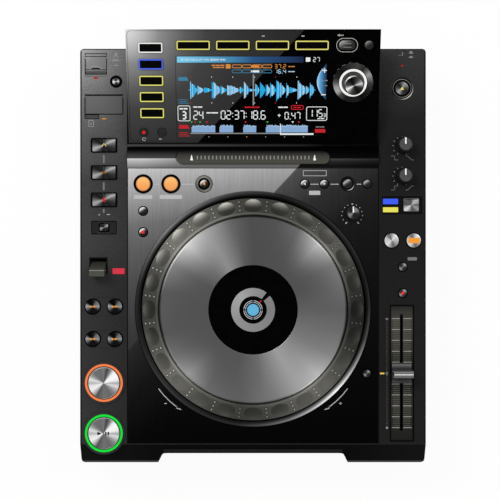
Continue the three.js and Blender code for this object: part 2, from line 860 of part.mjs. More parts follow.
function rearBlock(width, height, fromY, toY, [x, z]) {
  return block(width, toY - fromY, z - height / 2, z + height / 2, x, (fromY + toY) / 2);
}

function rearTurned(profile, [x, z], fromY) {
  const jack = turned(profile, smallSides);
  return jack.rotate([-90, 0, 0]).translate([x, fromY, z]);
}

function socketHousing(share, socket) {
  const frontY = deckRearY - socket.reach - rearSocketWall;
  const wide = socket.width + rearSocketWall * 2;
  const tall = socket.height + rearSocketWall * 2;
  return rearBlock(wide, tall, frontY, deckRearY, onRearPanel(share));
}

function socketHollow(share, socket) {
  const frontY = deckRearY - socket.reach;
  return rearBlock(socket.width, socket.height, frontY, deckRearY + overrun, onRearPanel(share));
}

function jackSolid(share, jack) {
  const profile = [
    [0, -rearPanelThickness / 2],
    [jack.base, -rearPanelThickness / 2],
    [jack.base, jack.baseRise],
    [jack.radius, jack.baseRise],
    [jack.radius, jack.reach],
    [jack.bore, jack.reach],
    [jack.bore, 0],
    [0, 0],
  ];
  return rearTurned(profile, onRearPanel(share), deckRearY);
}

function rearPanel() {
  const frontY = deckRearY - rearPanelThickness;
  const middle = [0, (footHeight + rearPanelTop) / 2];
  const sheet = rearBlock(rearPanelWidth, rearPanelTop - footHeight, frontY, deckRearY, middle);
  const sockets = [
    [rearShares.inlet, inletSocket],
    [rearShares.network, networkSocket],
    [rearShares.usb, usbRearSocket],
  ];
  const jacks = [
    [rearShares.control, controlJack],
    [rearShares.audioLeft, audioJack],
    [rearShares.audioRight, audioJack],
    [rearShares.digital, audioJack],
  ];
  const whole = join(
    sheet,
    ...sockets.map(([share, socket]) => socketHousing(share, socket)),
    ...jacks.map(([share, jack]) => jackSolid(share, jack)),
  );
  const keyHole = rearBlock(
    powerKey.width + clearance * 2,
    powerKey.height + clearance * 2,
    frontY - overrun,
    deckRearY + overrun,
    onRearPanel(rearShares.power),
  );
  return cut(whole, keyHole, ...sockets.map(([share, socket]) => socketHollow(share, socket)));
}

function powerButton() {
  const place = onRearPanel(rearShares.power);
  const seatY = deckRearY - rearPanelThickness - clearance;
  const cap = rearBlock(powerKey.width, powerKey.height, seatY - powerKey.flange, deckRearY + powerKey.reach, place);
  const flange = rearBlock(
    powerKey.width + powerKey.grip * 2,
    powerKey.height + powerKey.grip * 2,
    seatY - powerKey.flange,
    seatY,
    place,
  );
  return join(cap, flange);
}

// Deck buttons: a bevelled cap through the deck with a flange under it
function roundButton(cap) {
  const seat = -deckThickness - clearance;
  return turned(
    [
      [0, seat - flangeThickness],
      [cap.radius + flangeOverlap, seat - flangeThickness],
      [cap.radius + flangeOverlap, seat],
      [cap.radius, seat],
      [cap.radius, cap.height - capBevel],
      [cap.radius - capBevel, cap.height],
      [0, cap.height],
    ],
    sidesFor(cap.radius),
  );
}

function cornerButton(key) {
  const seat = -deckThickness - clearance;
  const overlap = flangeOverlap * 2;
  return join(
    roundedBlock(key.width, key.depth, key.radius, seat - flangeThickness, key.height),
    roundedBlock(key.width + overlap, key.depth + overlap, key.radius, seat - flangeThickness, seat),
  );
}

function knob(size) {
  const shaftEnd = -deckThickness - clearance - flangeThickness;
  const collar = knobShaftRadius + flangeOverlap;
  return turned([
    [0, shaftEnd],
    [collar, shaftEnd],
    [collar, shaftEnd + flangeThickness],
    [knobShaftRadius, shaftEnd + flangeThickness],
    [knobShaftRadius, clearance],
    [size.skirt, clearance],
    [size.skirt, knobSkirtHeight / 2],
    [size.top + capBevel, knobSkirtHeight],
    [size.top, size.height - capBevel],
    [size.top - capBevel, size.height],
    [0, size.height],
  ]);
}

function addDeckControls() {
  for (const [name, [x, y], cap, finishName] of roundButtons) {
    addPart(name, moved(roundButton(cap), x, y, deckHeight), finishName);
  }
  for (const [name, [x, y], key] of cornerButtons) {
    addPart(name, moved(cornerButton(key), x, y, deckHeight), 'darkKey');
  }
  for (const [name, [x, y], size] of knobs) {
    addPart(name, moved(knob(size), x, y, deckHeight), 'black');
  }
}

// Doors that swing up on pins at their rear edge
function socketDoor([x, y], door) {
  const bottom = deckHeight - doorSink - doorThickness;
  const hinge = doorHinge([x, y], door);
  const flapDepth = door.depth - doorBarrelRadius;
  const flapY = y - doorBarrelRadius / 2;
  return join(
    block(door.width, flapDepth, bottom, deckHeight - doorSink, x, flapY),
    crossRod(doorBarrelRadius, door.width, hinge.y, hinge.z, x),
    crossRod(doorPinRadius, door.width + doorPinLength * 2, hinge.y, hinge.z, x),
  );
}

// The lever leans forward at rest and tips back on its cross pin
function directionLever() {
  const [x, y] = onLeftStrip(placeShares.lever);
  const pinZ = deckUnderside - leverPinDrop;
  const half = leverDepth / 2;
  const top = deckHeight + leverTop - pinZ;
  const profile = [
    [-half, -leverPinRadius * 2],
    [half, -leverPinRadius * 2],
    [half, top - capBevel * 2],
    [half - capBevel * 2, top],
    [-half + capBevel * 2, top],
    [-half, top - capBevel * 2],
  ];
  const grip = sideProfile(profile, leverWidth);
  const leaned = grip.rotate([THREE.MathUtils.radToDeg(leverLean), 0, 0]);
  const pin = crossRod(leverPinRadius, leverWidth + clearance * 2 + leverEar * 2, 0, 0);
  return moved(join(leaned, pin), x, y, pinZ);
}

function tempoSlider() {
  const [x, y] = onRightStrip(placeShares.fader);
  const floor = -faderRecess.sink + clearance;
  const seat = -deckThickness - clearance;
  const half = sliderBase.depth / 2;
  const ridge = sliderRidge.depth / 2;
  const profile = [
    [-half, floor],
    [half, floor],
    [half, sliderBase.height / 2],
    [ridge + capBevel * 2, sliderBase.height],
    [ridge, sliderRidge.height - capBevel],
    [ridge - capBevel, sliderRidge.height],
    [-ridge + capBevel, sliderRidge.height],
    [-ridge, sliderRidge.height - capBevel],
    [-ridge - capBevel * 2, sliderBase.height],
    [-half, sliderBase.height / 2],
  ];
  const stemBottom = seat - sliderCarriage.height;
  const grip = join(
    sideProfile(profile, sliderBase.width),
    block(sliderStem.width, sliderStem.depth, stemBottom, floor + capBevel),
    block(sliderCarriage.width, sliderCarriage.depth, stemBottom, seat),
  );
  return moved(grip, x, y, deckHeight);
}

// The jog wheel: a dimpled rim on a web, turning on the hub's post
const webHeight = 11.6;
const webThickness = 3;
const discGap = 0.6;
const rimUnderside = 7;
const skirtDrop = 5;
const sleeveWall = 3;
const hubRecess = 5;
const dimpleCount = 24;
const dimpleLength = 16.4;
const dimpleDepth = 12.6;
const dimpleSink = 2.4;
const dimpleRingInset = 5.8;
const rimTopWidth = 1.6;
const sleeveRadius = postRadius + clearance;
const hubFlangeRadius = 22;
const hubFlangeHeight = 4;
const sleeveDrop = wellDepth - hubFlangeHeight - clearance;
const discRadius = wheelRadius - rimWidth;

function jogWheelBody() {
  const inner = discRadius + discGap / 2;
  const recessRadius = hubRadius + discGap;
  const sleeveOuter = sleeveRadius + sleeveWall;
  return turned(
    [
      [sleeveRadius, -sleeveDrop],
      [sleeveOuter, -sleeveDrop],
      [sleeveOuter, hubRecess - webThickness],
      [recessRadius + webThickness, hubRecess - webThickness],
      [recessRadius + webThickness, webHeight - webThickness],
      [inner - rimTopWidth, webHeight - webThickness],
      [wheelRadius - rimUnderside, 0],
      [wheelRadius - sleeveWall, -skirtDrop],
      [wheelRadius, -skirtDrop],
      [wheelRadius, rimEdgeHeight],
      [wheelRadius - capBevel * 2, rimEdgeHeight + capBevel * 2],
      [inner + rimTopWidth, rimHeight],
      [inner, rimHeight],
      [inner, webHeight],
      [recessRadius, webHeight],
      [recessRadius, hubRecess],
      [sleeveRadius, hubRecess],
      [sleeveRadius, -sleeveDrop],
    ],
    wheelSides,
  );
}

// One concave thumb dimple, lying on the slope of the rim
function dimpleCutter() {
  const geometry = new THREE.SphereGeometry(1, 8, 4);
  const slope = Math.atan2(rimHeight - rimEdgeHeight, rimWidth);
  geometry.scale(dimpleDepth / 2, dimpleLength / 2, dimpleSink);
  geometry.rotateY(slope);
  const height = (rimHeight + rimEdgeHeight) / 2 + capBevel * 2;
  geometry.translate(wheelRadius - dimpleRingInset, 0, height);
  return toSolid(geometry);
}

function jogWheel() {
  const dimple = dimpleCutter();
  const step = 360 / dimpleCount;
  const dimples = Array.from({ length: dimpleCount }, (_, index) => dimple.rotate([0, 0, step * index]));
  return cut(jogWheelBody(), ...dimples);
}

function jogPlate() {
  const inner = hubRadius + discGap;
  const bottom = webHeight + discGap;
  return turned(
    [
      [inner, bottom],
      [discRadius - discGap, bottom],
      [discRadius - discGap, discRise - capBevel * 2],
      [discRadius - discGap - capBevel * 3, discRise],
      [inner + capBevel, discRise],
      [inner, discRise - capBevel],
      [inner, bottom],
    ],
    wheelSides,
  );
}

// The fixed display in the middle of the wheel, on the post that the wheel turns on
const hubTopRise = 0.4;
const hubDiscBottom = hubRecess + clearance;

function jogHub() {
  return turned(
    [
      [0, -wellDepth],
      [hubFlangeRadius, -wellDepth],
      [hubFlangeRadius, -wellDepth + hubFlangeHeight],
      [postRadius, -wellDepth + hubFlangeHeight],
      [postRadius, hubDiscBottom],
      [hubRadius, hubDiscBottom],
      [hubRadius, discRise],
      [hubRadius - capBevel, discRise + hubTopRise],
      [0, discRise + hubTopRise],
    ],
    wheelSides / 2,
  );
}

function addJog() {
  addPart('jog_wheel', moved(jogWheel(), 0, jogY, deckHeight), 'black');
  addPart('jog_plate', moved(jogPlate(), 0, jogY, deckHeight), 'steel');
  addPart('jog_hub', moved(jogHub(), 0, jogY, deckHeight), 'glossBlack');
}

// The display housing stands on the rear of the deck, with the needle ridge in front of it
const pocketInset = 1.2;
const housingLedge = 3;
const housingFrontLedge = 1.8;
const housingRearEdge = 4;
const valleyRise = 0.6;
const ledgeGap = 0.6;
const panelSink = 0.2;
const needle = { width: 142.8, depth: 13.2, rise: 3.3, thickness: 2 };
const padEndFlat = 0.1;
const needleY = plateRearY + ridgeDepth / 2;

// The tilted frame that the display's pieces lie in: its origin is the panel's lower front edge
function tilted(solid) {
  return solid
    .rotate([THREE.MathUtils.radToDeg(panelTilt), 0, 0])
    .translate([0, panelFrontY, deckHeight + lipHeight]);
}

// A slab with round ends, each with a short straight stretch in its middle
function stadium(width, depth, bottom, top, x = 0, y = 0) {
  return roundedBlock(width, depth, (depth - padEndFlat) / 2, bottom, top, x, y, 4);
}

function displayHousing() {
  const base = deckHeight;
  const ridge = sideProfile(
    [
      [plateRearY, base],
      [needleY, base + ridgeHeight],
      [ridgeRearY, base + valleyRise],
      [ridgeRearY + lipRun, base + valleyRise],
      [ridgeRearY + lipRun, base],
    ],
    plateWidth,
  );
  const wedge = sideProfile(
    [
      [ridgeRearY, base],
      [ridgeRearY, base + valleyRise],
      [panelFrontY, base + lipHeight],
      [panelRearY, base + lipHeight + panelRise],
      [panelRearY, base + lipHeight + panelRise - housingRearEdge],
      [deckRearY, base],
    ],
    panelWidth,
  );
  const ledge = pocketInset + housingLedge;
  const frontLedge = pocketInset + housingFrontLedge;
  const cavity = sideProfile(
    [
      [panelFrontY + frontLedge, base - overrun],
      [panelFrontY + frontLedge, base + lipHeight + panelRise],
      [panelRearY - ledge, base + lipHeight + panelRise],
      [deckRearY - housingRearEdge, base - overrun],
    ],
    panelWidth - ledge * 2,
  );
  const pocketDepth = panelSink + panelThickness + ledgeGap;
  const pocket = roundedBlock(
    panelWidth - pocketInset * 2,
    panelLength - pocketInset * 2,
    cornerRadius,
    -pocketDepth,
    overrun,
    0,
    panelLength / 2,
  );
  const needleFloor = base + needle.rise - needle.thickness;
  const padPocket = stadium(
    needle.width + clearance * 2,
    needle.depth + clearance * 2,
    needleFloor,
    base + overrun * 2,
    0,
    needleY,
  );
  return cut(join(ridge, wedge), cavity, tilted(pocket), padPocket);
}

function needlePad() {
  const top = deckHeight + needle.rise;
  return stadium(needle.width, needle.depth, top - needle.thickness, top, 0, needleY);
}

// Places on the display panel: shares of its width from the middle and of its length from the front
const panelShares = {
  sourceTop: [-0.403, 0.842],
  sourceLow: [-0.403, 0.267],
  menuLeft: [-0.235, 0.863],
  menuRight: [0.231, 0.863],
  back: [0.369, 0.863],
  tag: [0.455, 0.863],
  selector: [0.396, 0.537],
  quantize: [-0.439, 0.094],
  timeMode: [-0.366, 0.094],
};
const sourceKey = { width: 21.4, depth: 8.6, radius: 1.2, height: 1.2 };
const menuKey = { width: 29.6, depth: 7.8, radius: 1.2, height: 1.2 };
const backKey = { width: 14.6, depth: 8.6, radius: 3.9, height: 1.4 };
const panelCap = { radius: 4, height: 1.2 };
const screenSize = { width: 138, frontBand: 3.4, rearBand: 24.2, rim: 2.6, thickness: 3 };
const screenAcrossShare = -0.004;
const sourceCount = 5;
const menuCount = 4;
const keyBar = { width: 12, depth: 4.5, thickness: 1.4 };
const selectorBase = { radius: 18.6, rise: 1.2 };
const selectorKnob = { radius: 10.3, top: 9.4, height: 14, shaft: 3.5 };
const panelTop = -panelSink;
const panelBottom = panelTop - panelThickness;
const screenDepth = panelLength - screenSize.frontBand - screenSize.rearBand;
const screenX = screenAcrossShare * panelWidth;
const screenY = screenSize.frontBand + screenDepth / 2;

function onPanel([acrossShare, alongShare]) {
  return [acrossShare * panelWidth, alongShare * panelLength];
}

function spread(fromShare, toShare, count) {
  const from = onPanel(fromShare);
  const to = onPanel(toShare);
  const steps = count - 1;
  return Array.from({ length: count }, (_, index) => [
    from[0] + ((to[0] - from[0]) * index) / steps,
    from[1] + ((to[1] - from[1]) * index) / steps,
  ]);
}

const sourcePlaces = spread(panelShares.sourceTop, panelShares.sourceLow, sourceCount);
const menuPlaces = spread(panelShares.menuLeft, panelShares.menuRight, menuCount);

function keyHole(key, [x, y]) {
  const gap = clearance * 2;
  return roundedBlock(key.width + gap, key.depth + gap, key.radius, panelBottom - overrun, overrun, x, y);
}

function panelHole(radius, [x, y]) {
  return cylinder(radius + clearance, panelBottom - overrun, selectorBase.rise + overrun, x, y);
}

function displayPanel() {
  const inset = (pocketInset + clearance) * 2;
  const width = panelWidth - inset;
  const length = panelLength - inset;
  const sheet = roundedBlock(width, length, cornerRadius, panelBottom, panelTop, 0, panelLength / 2);
  const [dialX, dialY] = onPanel(panelShares.selector);
  const screenHole = block(
    screenSize.width + clearance * 2,
    screenDepth + clearance * 2,
    panelBottom - overrun,
    overrun,
    screenX,
    screenY,
  );
  const dialBase = cylinder(
    selectorBase.radius,
    (panelTop + panelBottom) / 2,
    panelTop + selectorBase.rise,
    dialX,
    dialY,
    midSides,
  );
  return cut(
    join(sheet, dialBase),
    ...sourcePlaces.map((place) => keyHole(sourceKey, place)),
    ...menuPlaces.map((place) => keyHole(menuKey, place)),
    keyHole(backKey, onPanel(panelShares.back)),
    panelHole(panelCap.radius, onPanel(panelShares.tag)),
    panelHole(panelCap.radius, onPanel(panelShares.quantize)),
    panelHole(panelCap.radius, onPanel(panelShares.timeMode)),
    panelHole(selectorKnob.shaft, onPanel(panelShares.selector)),
    screenHole,
  );
}

// The screen: a raised face in the panel's window on a frame under the panel
function lcdModule() {
  const seat = panelBottom - clearance;
  const rim = screenSize.rim * 2;
  const back = seat - screenSize.thickness;
  return join(
    block(screenSize.width, screenDepth, back, panelTop - clearance, screenX, screenY),
    block(screenSize.width + rim, screenDepth, back, seat, screenX, screenY),
  );
}

// Several caps on one bar under the panel, as on a moulded keypad
function keypad(places, key, barWidth, barDepth) {
  const seat = panelBottom - clearance;
  const middleX = (places[0][0] + places[places.length - 1][0]) / 2;
  const middleY = (places[0][1] + places[places.length - 1][1]) / 2;
  const top = panelTop + key.height;
  const back = seat - keyBar.thickness;
  const caps = places.map(([x, y]) => roundedBlock(key.width, key.depth, key.radius, back, top, x, y));
  return join(block(barWidth, barDepth, back, seat, middleX, middleY), ...caps);
}

function sourceKeys() {
  const reach = sourcePlaces[0][1] - sourcePlaces[sourceCount - 1][1] + sourceKey.depth;
  return keypad(sourcePlaces, sourceKey, keyBar.width, reach + flangeOverlap * 2);
}

function menuKeys() {
  const reach = menuPlaces[menuCount - 1][0] - menuPlaces[0][0] + menuKey.width;
  return keypad(menuPlaces, menuKey, reach + flangeOverlap * 2, keyBar.depth);
}

function panelKey(key) {
  const seat = panelBottom - clearance;
  const back = seat - keyBar.thickness;
  const overlap = flangeOverlap * 2;
  return join(
    roundedBlock(key.width, key.depth, key.radius, back, panelTop + key.height),
    roundedBlock(key.width + overlap, key.depth + overlap, key.radius, back, seat),
  );
}

function panelButton() {
  const seat = panelBottom - clearance;
  return turned([
    [0, seat - keyBar.thickness],
    [panelCap.radius + flangeOverlap, seat - keyBar.thickness],
    [panelCap.radius + flangeOverlap, seat],
    [panelCap.radius, seat],
    [panelCap.radius, panelTop + panelCap.height],
    [0, panelTop + panelCap.height],
  ]);
}

// Two round caps on one bar
function modeKeys() {
  const seat = panelBottom - clearance;
  const places = [panelShares.quantize, panelShares.timeMode].map(onPanel);
  const span = places[1][0] - places[0][0];
  const middleX = (places[0][0] + places[1][0]) / 2;
  const bar = block(span, keyBar.depth, seat - keyBar.thickness, seat, middleX, places[0][1]);
  return join(bar, ...places.map(([x, y]) => moved(panelButton(), x, y, 0)));
}

function selectorDial() {
  const seat = panelBottom - clearance;
  const collar = selectorKnob.shaft + flangeOverlap;
  const skirt = panelTop + selectorBase.rise + clearance;
  return turned(
    [
      [0, seat - keyBar.thickness],
      [collar, seat - keyBar.thickness],
      [collar, seat],
      [selectorKnob.shaft, seat],
      [selectorKnob.shaft, skirt],
      [selectorKnob.radius, skirt],
      [selectorKnob.radius, selectorKnob.height - capBevel * 3],
      [selectorKnob.top, selectorKnob.height],
      [0, selectorKnob.height],
    ],
    midSides,
  );
}

function addDisplay() {
  addPart('display_housing', displayHousing(), 'black');
  addPart('needle_pad', needlePad(), 'glossBlack');
  const display = new THREE.Group();
  display.position.set(0, panelFrontY, deckHeight + lipHeight);
  display.rotation.x = panelTilt;
  player.add(display);
  addPart('display_panel', displayPanel(), 'glossBlack', display);
  addPart('lcd_module', lcdModule(), 'screen', display);
  addPart('source_keys', sourceKeys(), 'darkKey', display);
  addPart('menu_keys', menuKeys(), 'darkKey', display);
  addPart('mode_keys', modeKeys(), 'darkKey', display);
  const single = [
    ['back_key', panelKey(backKey), panelShares.back],
    ['tag_key', panelButton(), panelShares.tag],
    ['selector_dial', selectorDial(), panelShares.selector],
  ];
  for (const [name, solid, share] of single) {
    const mesh = addPart(name, solid, name === 'selector_dial' ? 'silver' : 'darkKey', display);
    const [x, y] = onPanel(share);
    mesh.position.set(x, y, 0);
  }
}

addPart('lower_chassis', lowerChassis(), 'black');
addPart('upper_cabinet', upperCabinet(), 'charcoal');
addPart('centre_panel', centrePanel(), 'brushed');
addPart('front_panel', frontPanel(), 'black');
addPart('rear_panel', rearPanel(), 'black');
addPart('power_button', powerButton(), 'darkKey');
addPart('disc_drive', discDrive(), 'silver');
addPart('main_board', mainBoard(), 'circuit');
addPart('socket_carrier', socketCarrier(), 'black');
addPart('usb_door', socketDoor(onLeftStrip(placeShares.usbDoor), usbDoor), 'darkKey');
addPart('sd_door', socketDoor(onLeftStrip(placeShares.sdDoor), sdDoor), 'darkKey');
addPart('direction_lever', directionLever(), 'silver');
addPart('tempo_slider', tempoSlider(), 'black');
addFeet();
addDeckControls();
addJog();
addDisplay();

export default player;
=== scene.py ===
import math
import random

import bmesh
import bpy
from mathutils import Matrix, Vector


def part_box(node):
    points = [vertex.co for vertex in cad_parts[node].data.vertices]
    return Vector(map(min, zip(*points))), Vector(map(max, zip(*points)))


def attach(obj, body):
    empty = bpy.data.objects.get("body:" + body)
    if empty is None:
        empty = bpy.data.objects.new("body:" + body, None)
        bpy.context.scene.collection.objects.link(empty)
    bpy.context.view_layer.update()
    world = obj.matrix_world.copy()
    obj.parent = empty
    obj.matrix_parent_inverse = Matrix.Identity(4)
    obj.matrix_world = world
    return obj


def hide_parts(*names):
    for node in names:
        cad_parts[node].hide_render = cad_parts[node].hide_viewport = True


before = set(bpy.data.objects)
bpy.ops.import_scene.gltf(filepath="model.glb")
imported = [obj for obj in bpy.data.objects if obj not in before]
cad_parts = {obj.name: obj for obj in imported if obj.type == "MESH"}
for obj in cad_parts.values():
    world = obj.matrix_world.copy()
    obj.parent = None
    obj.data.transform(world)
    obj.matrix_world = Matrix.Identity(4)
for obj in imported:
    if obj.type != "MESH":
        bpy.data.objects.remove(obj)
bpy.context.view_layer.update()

# A tabletop disc player for DJs, seen from straight above. Sizes are written in millimetres.
mm = 0.001
scene = bpy.context.scene
scene.view_settings.view_transform = "Standard"


# Materials: helpers
def linear(code):
    # sRGB hex to the linear colour that a shader takes; two digits stand for a gray
    digits = code.lstrip("#") * (3 if len(code) == 3 else 1)
    parts = [int(digits[i:i + 2], 16) / 255 for i in (0, 2, 4)]
    return [p / 12.92 if p <= 0.04045 else ((p + 0.055) / 1.055) ** 2.4 for p in parts] + [1.0]


def addNode(tree, kind, settings=None, links=None):
    # adds a node; a link may name a node, whose first output is then used
    made = tree.nodes.new("ShaderNode" + kind)
    for name, value in (settings or {}).items():
        if name == "stops":
            ramp = made.color_ramp
            while len(ramp.elements) < len(value):
                ramp.elements.new(0.5)
            for element, (position, code) in zip(ramp.elements, value.items()):
                element.position = position
                element.color = linear(code)
        elif isinstance(name, str) and hasattr(made, name):
            setattr(made, name, value)
        else:
            made.inputs[name].default_value = value
    for name, source in (links or {}).items():
        madeFrom = source if isinstance(source, bpy.types.NodeSocket) else source.outputs[0]
        tree.links.new(madeFrom, made.inputs[name])
    return made


def startMaterial(name):
    material = bpy.data.materials.new(name)
    material.use_nodes = True
    material.node_tree.nodes.clear()
    return material, material.node_tree


def closeMaterial(tree, settings, links):
    shader = addNode(tree, "BsdfPrincipled", settings, links)
    addNode(tree, "OutputMaterial", {}, {"Surface": shader})


def placeInMm(tree, centre=(0, 0, 0), world=False):
    # the place on a piece in millimetres from a centre; in the frame's own axes where world is set
    source = addNode(tree, "NewGeometry" if world else "TexCoord").outputs["Position" if world else "Object"]
    scaled = addNode(tree, "VectorMath", {"operation": "SCALE", "Scale": 1 / mm}, {0: source})
    return addNode(tree, "VectorMath", {"operation": "SUBTRACT", 1: centre}, {0: scaled})


def softPatches(tree, place, size, detail=3.0, stretch=(1, 1, 1)):
    # clouds of a size in millimetres
    drawn = addNode(tree, "VectorMath", {"operation": "MULTIPLY", 1: stretch}, {0: place})
    return addNode(tree, "TexNoise", {"Scale": 1 / size, "Detail": detail}, {"Vector": drawn})


def unevenColour(tree, place, dark, light, size):
    # two close colours in soft patches
    return addNode(tree, "ValToRGB", {"stops": {0.35: dark, 0.65: light}}, {"Fac": softPatches(tree, place, size)})


def unevenShare(tree, place, amount, size, stretch=(1, 1, 1)):
    # a factor around 1 in soft patches, which a colour is scaled by
    limits = {"From Min": 0.3, "From Max": 0.7, "To Min": 1 - amount, "To Max": 1 + amount}
    return addNode(tree, "MapRange", limits, {"Value": softPatches(tree, place, size, 3.0, stretch)})


def grainBump(tree, place, size, depth, stretch=(1, 1, 1)):
    # a fine relief; size and depth in millimetres
    noise = softPatches(tree, place, size, 2.0, stretch)
    return addNode(tree, "Bump", {"Strength": 0.6, "Distance": depth * mm}, {"Height": noise})


def axisOf(tree, place, axis):
    # a place's coordinate: 0 to the right, 1 to the rear, 2 up
    return addNode(tree, "SeparateXYZ", {}, {0: place}).outputs[axis]


def turnShare(tree, place):
    # the angle about Z from 0 at +X, counter-clockwise, to 1 after a whole turn
    angle = addNode(tree, "Math", {"operation": "ARCTAN2"}, {0: axisOf(tree, place, 1), 1: axisOf(tree, place, 0)})
    turns = addNode(tree, "Math", {"operation": "DIVIDE", 1: math.tau}, {0: angle})
    return addNode(tree, "Math", {"operation": "FRACT"}, {0: turns})


def reachOf(tree, place):
    # the distance from the centre, seen from above
    flat = addNode(tree, "VectorMath", {"operation": "MULTIPLY", 1: (1, 1, 0)}, {0: place})
    return addNode(tree, "VectorMath", {"operation": "LENGTH"}, {0: flat}).outputs["Value"]


def toneAlong(tree, value, low, high, stops):
    # a run of tones between two values
    share = addNode(tree, "MapRange", {"From Min": low, "From Max": high}, {"Value": value})
    return addNode(tree, "ValToRGB", {"stops": stops}, {"Fac": share})


def beyondLine(tree, place, start, normal):
    # how far a place lies beyond a straight edge
    away = addNode(tree, "VectorMath", {"operation": "SUBTRACT", 1: start}, {0: place})
    return addNode(tree, "VectorMath", {"operation": "DOT_PRODUCT", 1: normal}, {0: away}).outputs["Value"]


def tonesRound(tree, place, stops):
    # tones that change with the angle about Z, each stop in degrees; the last tone is the first again
    shares = {angle / 360: code for angle, code in stops.items()}
    return addNode(tree, "ValToRGB", {"stops": {**shares, 1: stops[0]}}, {"Fac": turnShare(tree, place)})


def scaleColour(tree, colour, share):
    return addNode(tree, "VectorMath", {"operation": "SCALE"}, {0: colour, "Scale": share})


def blendColours(tree, share, first, second):
    # a colour that is a list of numbers is set on the socket itself
    settings, links = {"data_type": "RGBA"}, {0: share}
    for socket, colour in ((6, first), (7, second)):
        (settings if isinstance(colour, list) else links)[socket] = colour
    return addNode(tree, "Mix", settings, links).outputs[2]


def satinSkin(tree, place, tone, roughness, gloss, patches, relief):
    # a skin over a tone: how strong and wide its patches are, and the grain and depth of its relief
    closeMaterial(
        tree,
        {"Roughness": roughness, "Specular IOR Level": gloss},
        {
            "Base Color": scaleColour(tree, tone, unevenShare(tree, place, *patches)),
            "Normal": grainBump(tree, place, *relief),
        },
    )


def bandedPlastic(name, low, high, stops, roughness, gloss, patches, relief, centre=(0, 0, 0)):
    # satin plastic whose sheen changes from its front to its rear
    material, tree = startMaterial(name)
    place = placeInMm(tree, centre)
    tone = toneAlong(tree, axisOf(tree, place, 1), low, high, stops)
    satinSkin(tree, place, tone, roughness, gloss, patches, relief)
    return material


def mouldedPlastic(name, dark, light, size=3.0, grain=0.8, roughness=0.5, gloss=0.1, depth=0.03):
    # a plastic whose colour and grain are even, with soft patches where the mould wore
    material, tree = startMaterial(name)
    place = placeInMm(tree)
    colour = unevenColour(tree, place, dark, light, size)
    rough = addNode(
        tree,
        "MapRange",
        {"To Min": roughness - 0.06, "To Max": roughness + 0.06},
        {"Value": addNode(tree, "TexNoise", {"Scale": 0.3}, {"Vector": place})},
    )
    closeMaterial(
        tree,
        {"Specular IOR Level": gloss},
        {"Base Color": colour, "Roughness": rough, "Normal": grainBump(tree, place, grain, depth)},
    )
    return material


def printedInk(name, dark, light, size=1.2):
    # a thin coat of pad or screen printed ink: flat and matt
    return mouldedPlastic(name, dark, light, size, 0.6, 0.6, 0.05, 0.01)


litLook = {"Base Color": linear("#08"), "Roughness": 0.35, "Specular IOR Level": 0.1, "Emission Strength": 1.0}


def litPlastic(name, core, edge=None, reach=300):
    # a lamp under clear plastic: brightest over the lamp, deeper in colour at its edge
    material, tree = startMaterial(name)
    place = placeInMm(tree)
    colour = toneAlong(tree, reachOf(tree, place), 0, reach, {0: core, 1: edge or core})
    uneven = scaleColour(tree, colour, unevenShare(tree, place, 0.05, 0.8))
    closeMaterial(tree, litLook, {"Emission Color": uneven})
    return material


def spunMetalPaintedWedges(name, stops, groove=0.35, amount=0.1, roughness=0.32):
    # metal turned on a lathe: painted bright and dark wedges of reflected light, and fine circular grooves
    material, tree = startMaterial(name)
    place = placeInMm(tree)
    wedges = tonesRound(tree, place, stops)
    rings = addNode(tree, "CombineXYZ", {}, {0: reachOf(tree, place)})
    grooves = addNode(tree, "TexNoise", {"Scale": 1 / groove, "Detail": 1.0}, {"Vector": rings})
    share = addNode(
        tree,
        "MapRange",
        {"From Min": 0.3, "From Max": 0.7, "To Min": 1 - amount, "To Max": 1 + amount},
        {"Value": grooves},
    )
    bump = addNode(tree, "Bump", {"Strength": 0.25, "Distance": 0.02 * mm}, {"Height": grooves})
    closeMaterial(
        tree,
        {"Metallic": 1.0, "Roughness": roughness},
        {"Base Color": scaleColour(tree, wedges, share), "Normal": bump},
    )
    return material


# Shapes: helpers
def circle(radius, z, sides=64, x=0, y=0):
    turns = [math.tau * index / sides for index in range(sides)]
    return [Vector((x + radius * math.cos(t), y + radius * math.sin(t), z)) for t in turns]


def roundRect(width, depth, radius, z, x=0, y=0, steps=5):
    points = []
    for sideX, sideY, start in ((1, 1, 0), (-1, 1, 90), (-1, -1, 180), (1, -1, 270)):
        for step in range(steps + 1):
            turn = math.radians(start + 90 * step / steps)
            across = sideX * (width / 2 - radius) + radius * math.cos(turn)
            along = sideY * (depth / 2 - radius) + radius * math.sin(turn)
            points.append(Vector((x + across, y + along, z)))
    return points


def loft(bm, rings, material=0, closed=False):
    # joins rings of points into a skin, with a lid at each end unless the rings close on themselves
    rows = [[bm.verts.new(point) for point in ring] for ring in rings]
    pairs = list(zip(rows, rows[1:])) + ([(rows[-1], rows[0])] if closed else [])
    faces = []
    for lower, upper in pairs:
        for index in range(len(lower)):
            after = (index + 1) % len(lower)
            faces.append(bm.faces.new((lower[index], lower[after], upper[after], upper[index])))
    if not closed:
        faces += [bm.faces.new(rows[0][::-1]), bm.faces.new(rows[-1])]
    for face in faces:
        face.material_index = material
    return faces


def lathe(bm, profile, sides=64, material=0, x=0, y=0, closed=False):
    return loft(bm, [circle(radius, z, sides, x, y) for radius, z in profile], material, closed)


def washer(bm, inner, outer, bottom, top, bevel=0.1, sides=64, material=0, x=0, y=0):
    # a flat ring with its upper edges broken
    profile = [
        (inner, bottom), (outer, bottom), (outer, top - bevel), (outer - bevel, top), (inner + bevel, top),
        (inner, top - bevel),
    ]
    return lathe(bm, profile, sides, material, x, y, True)


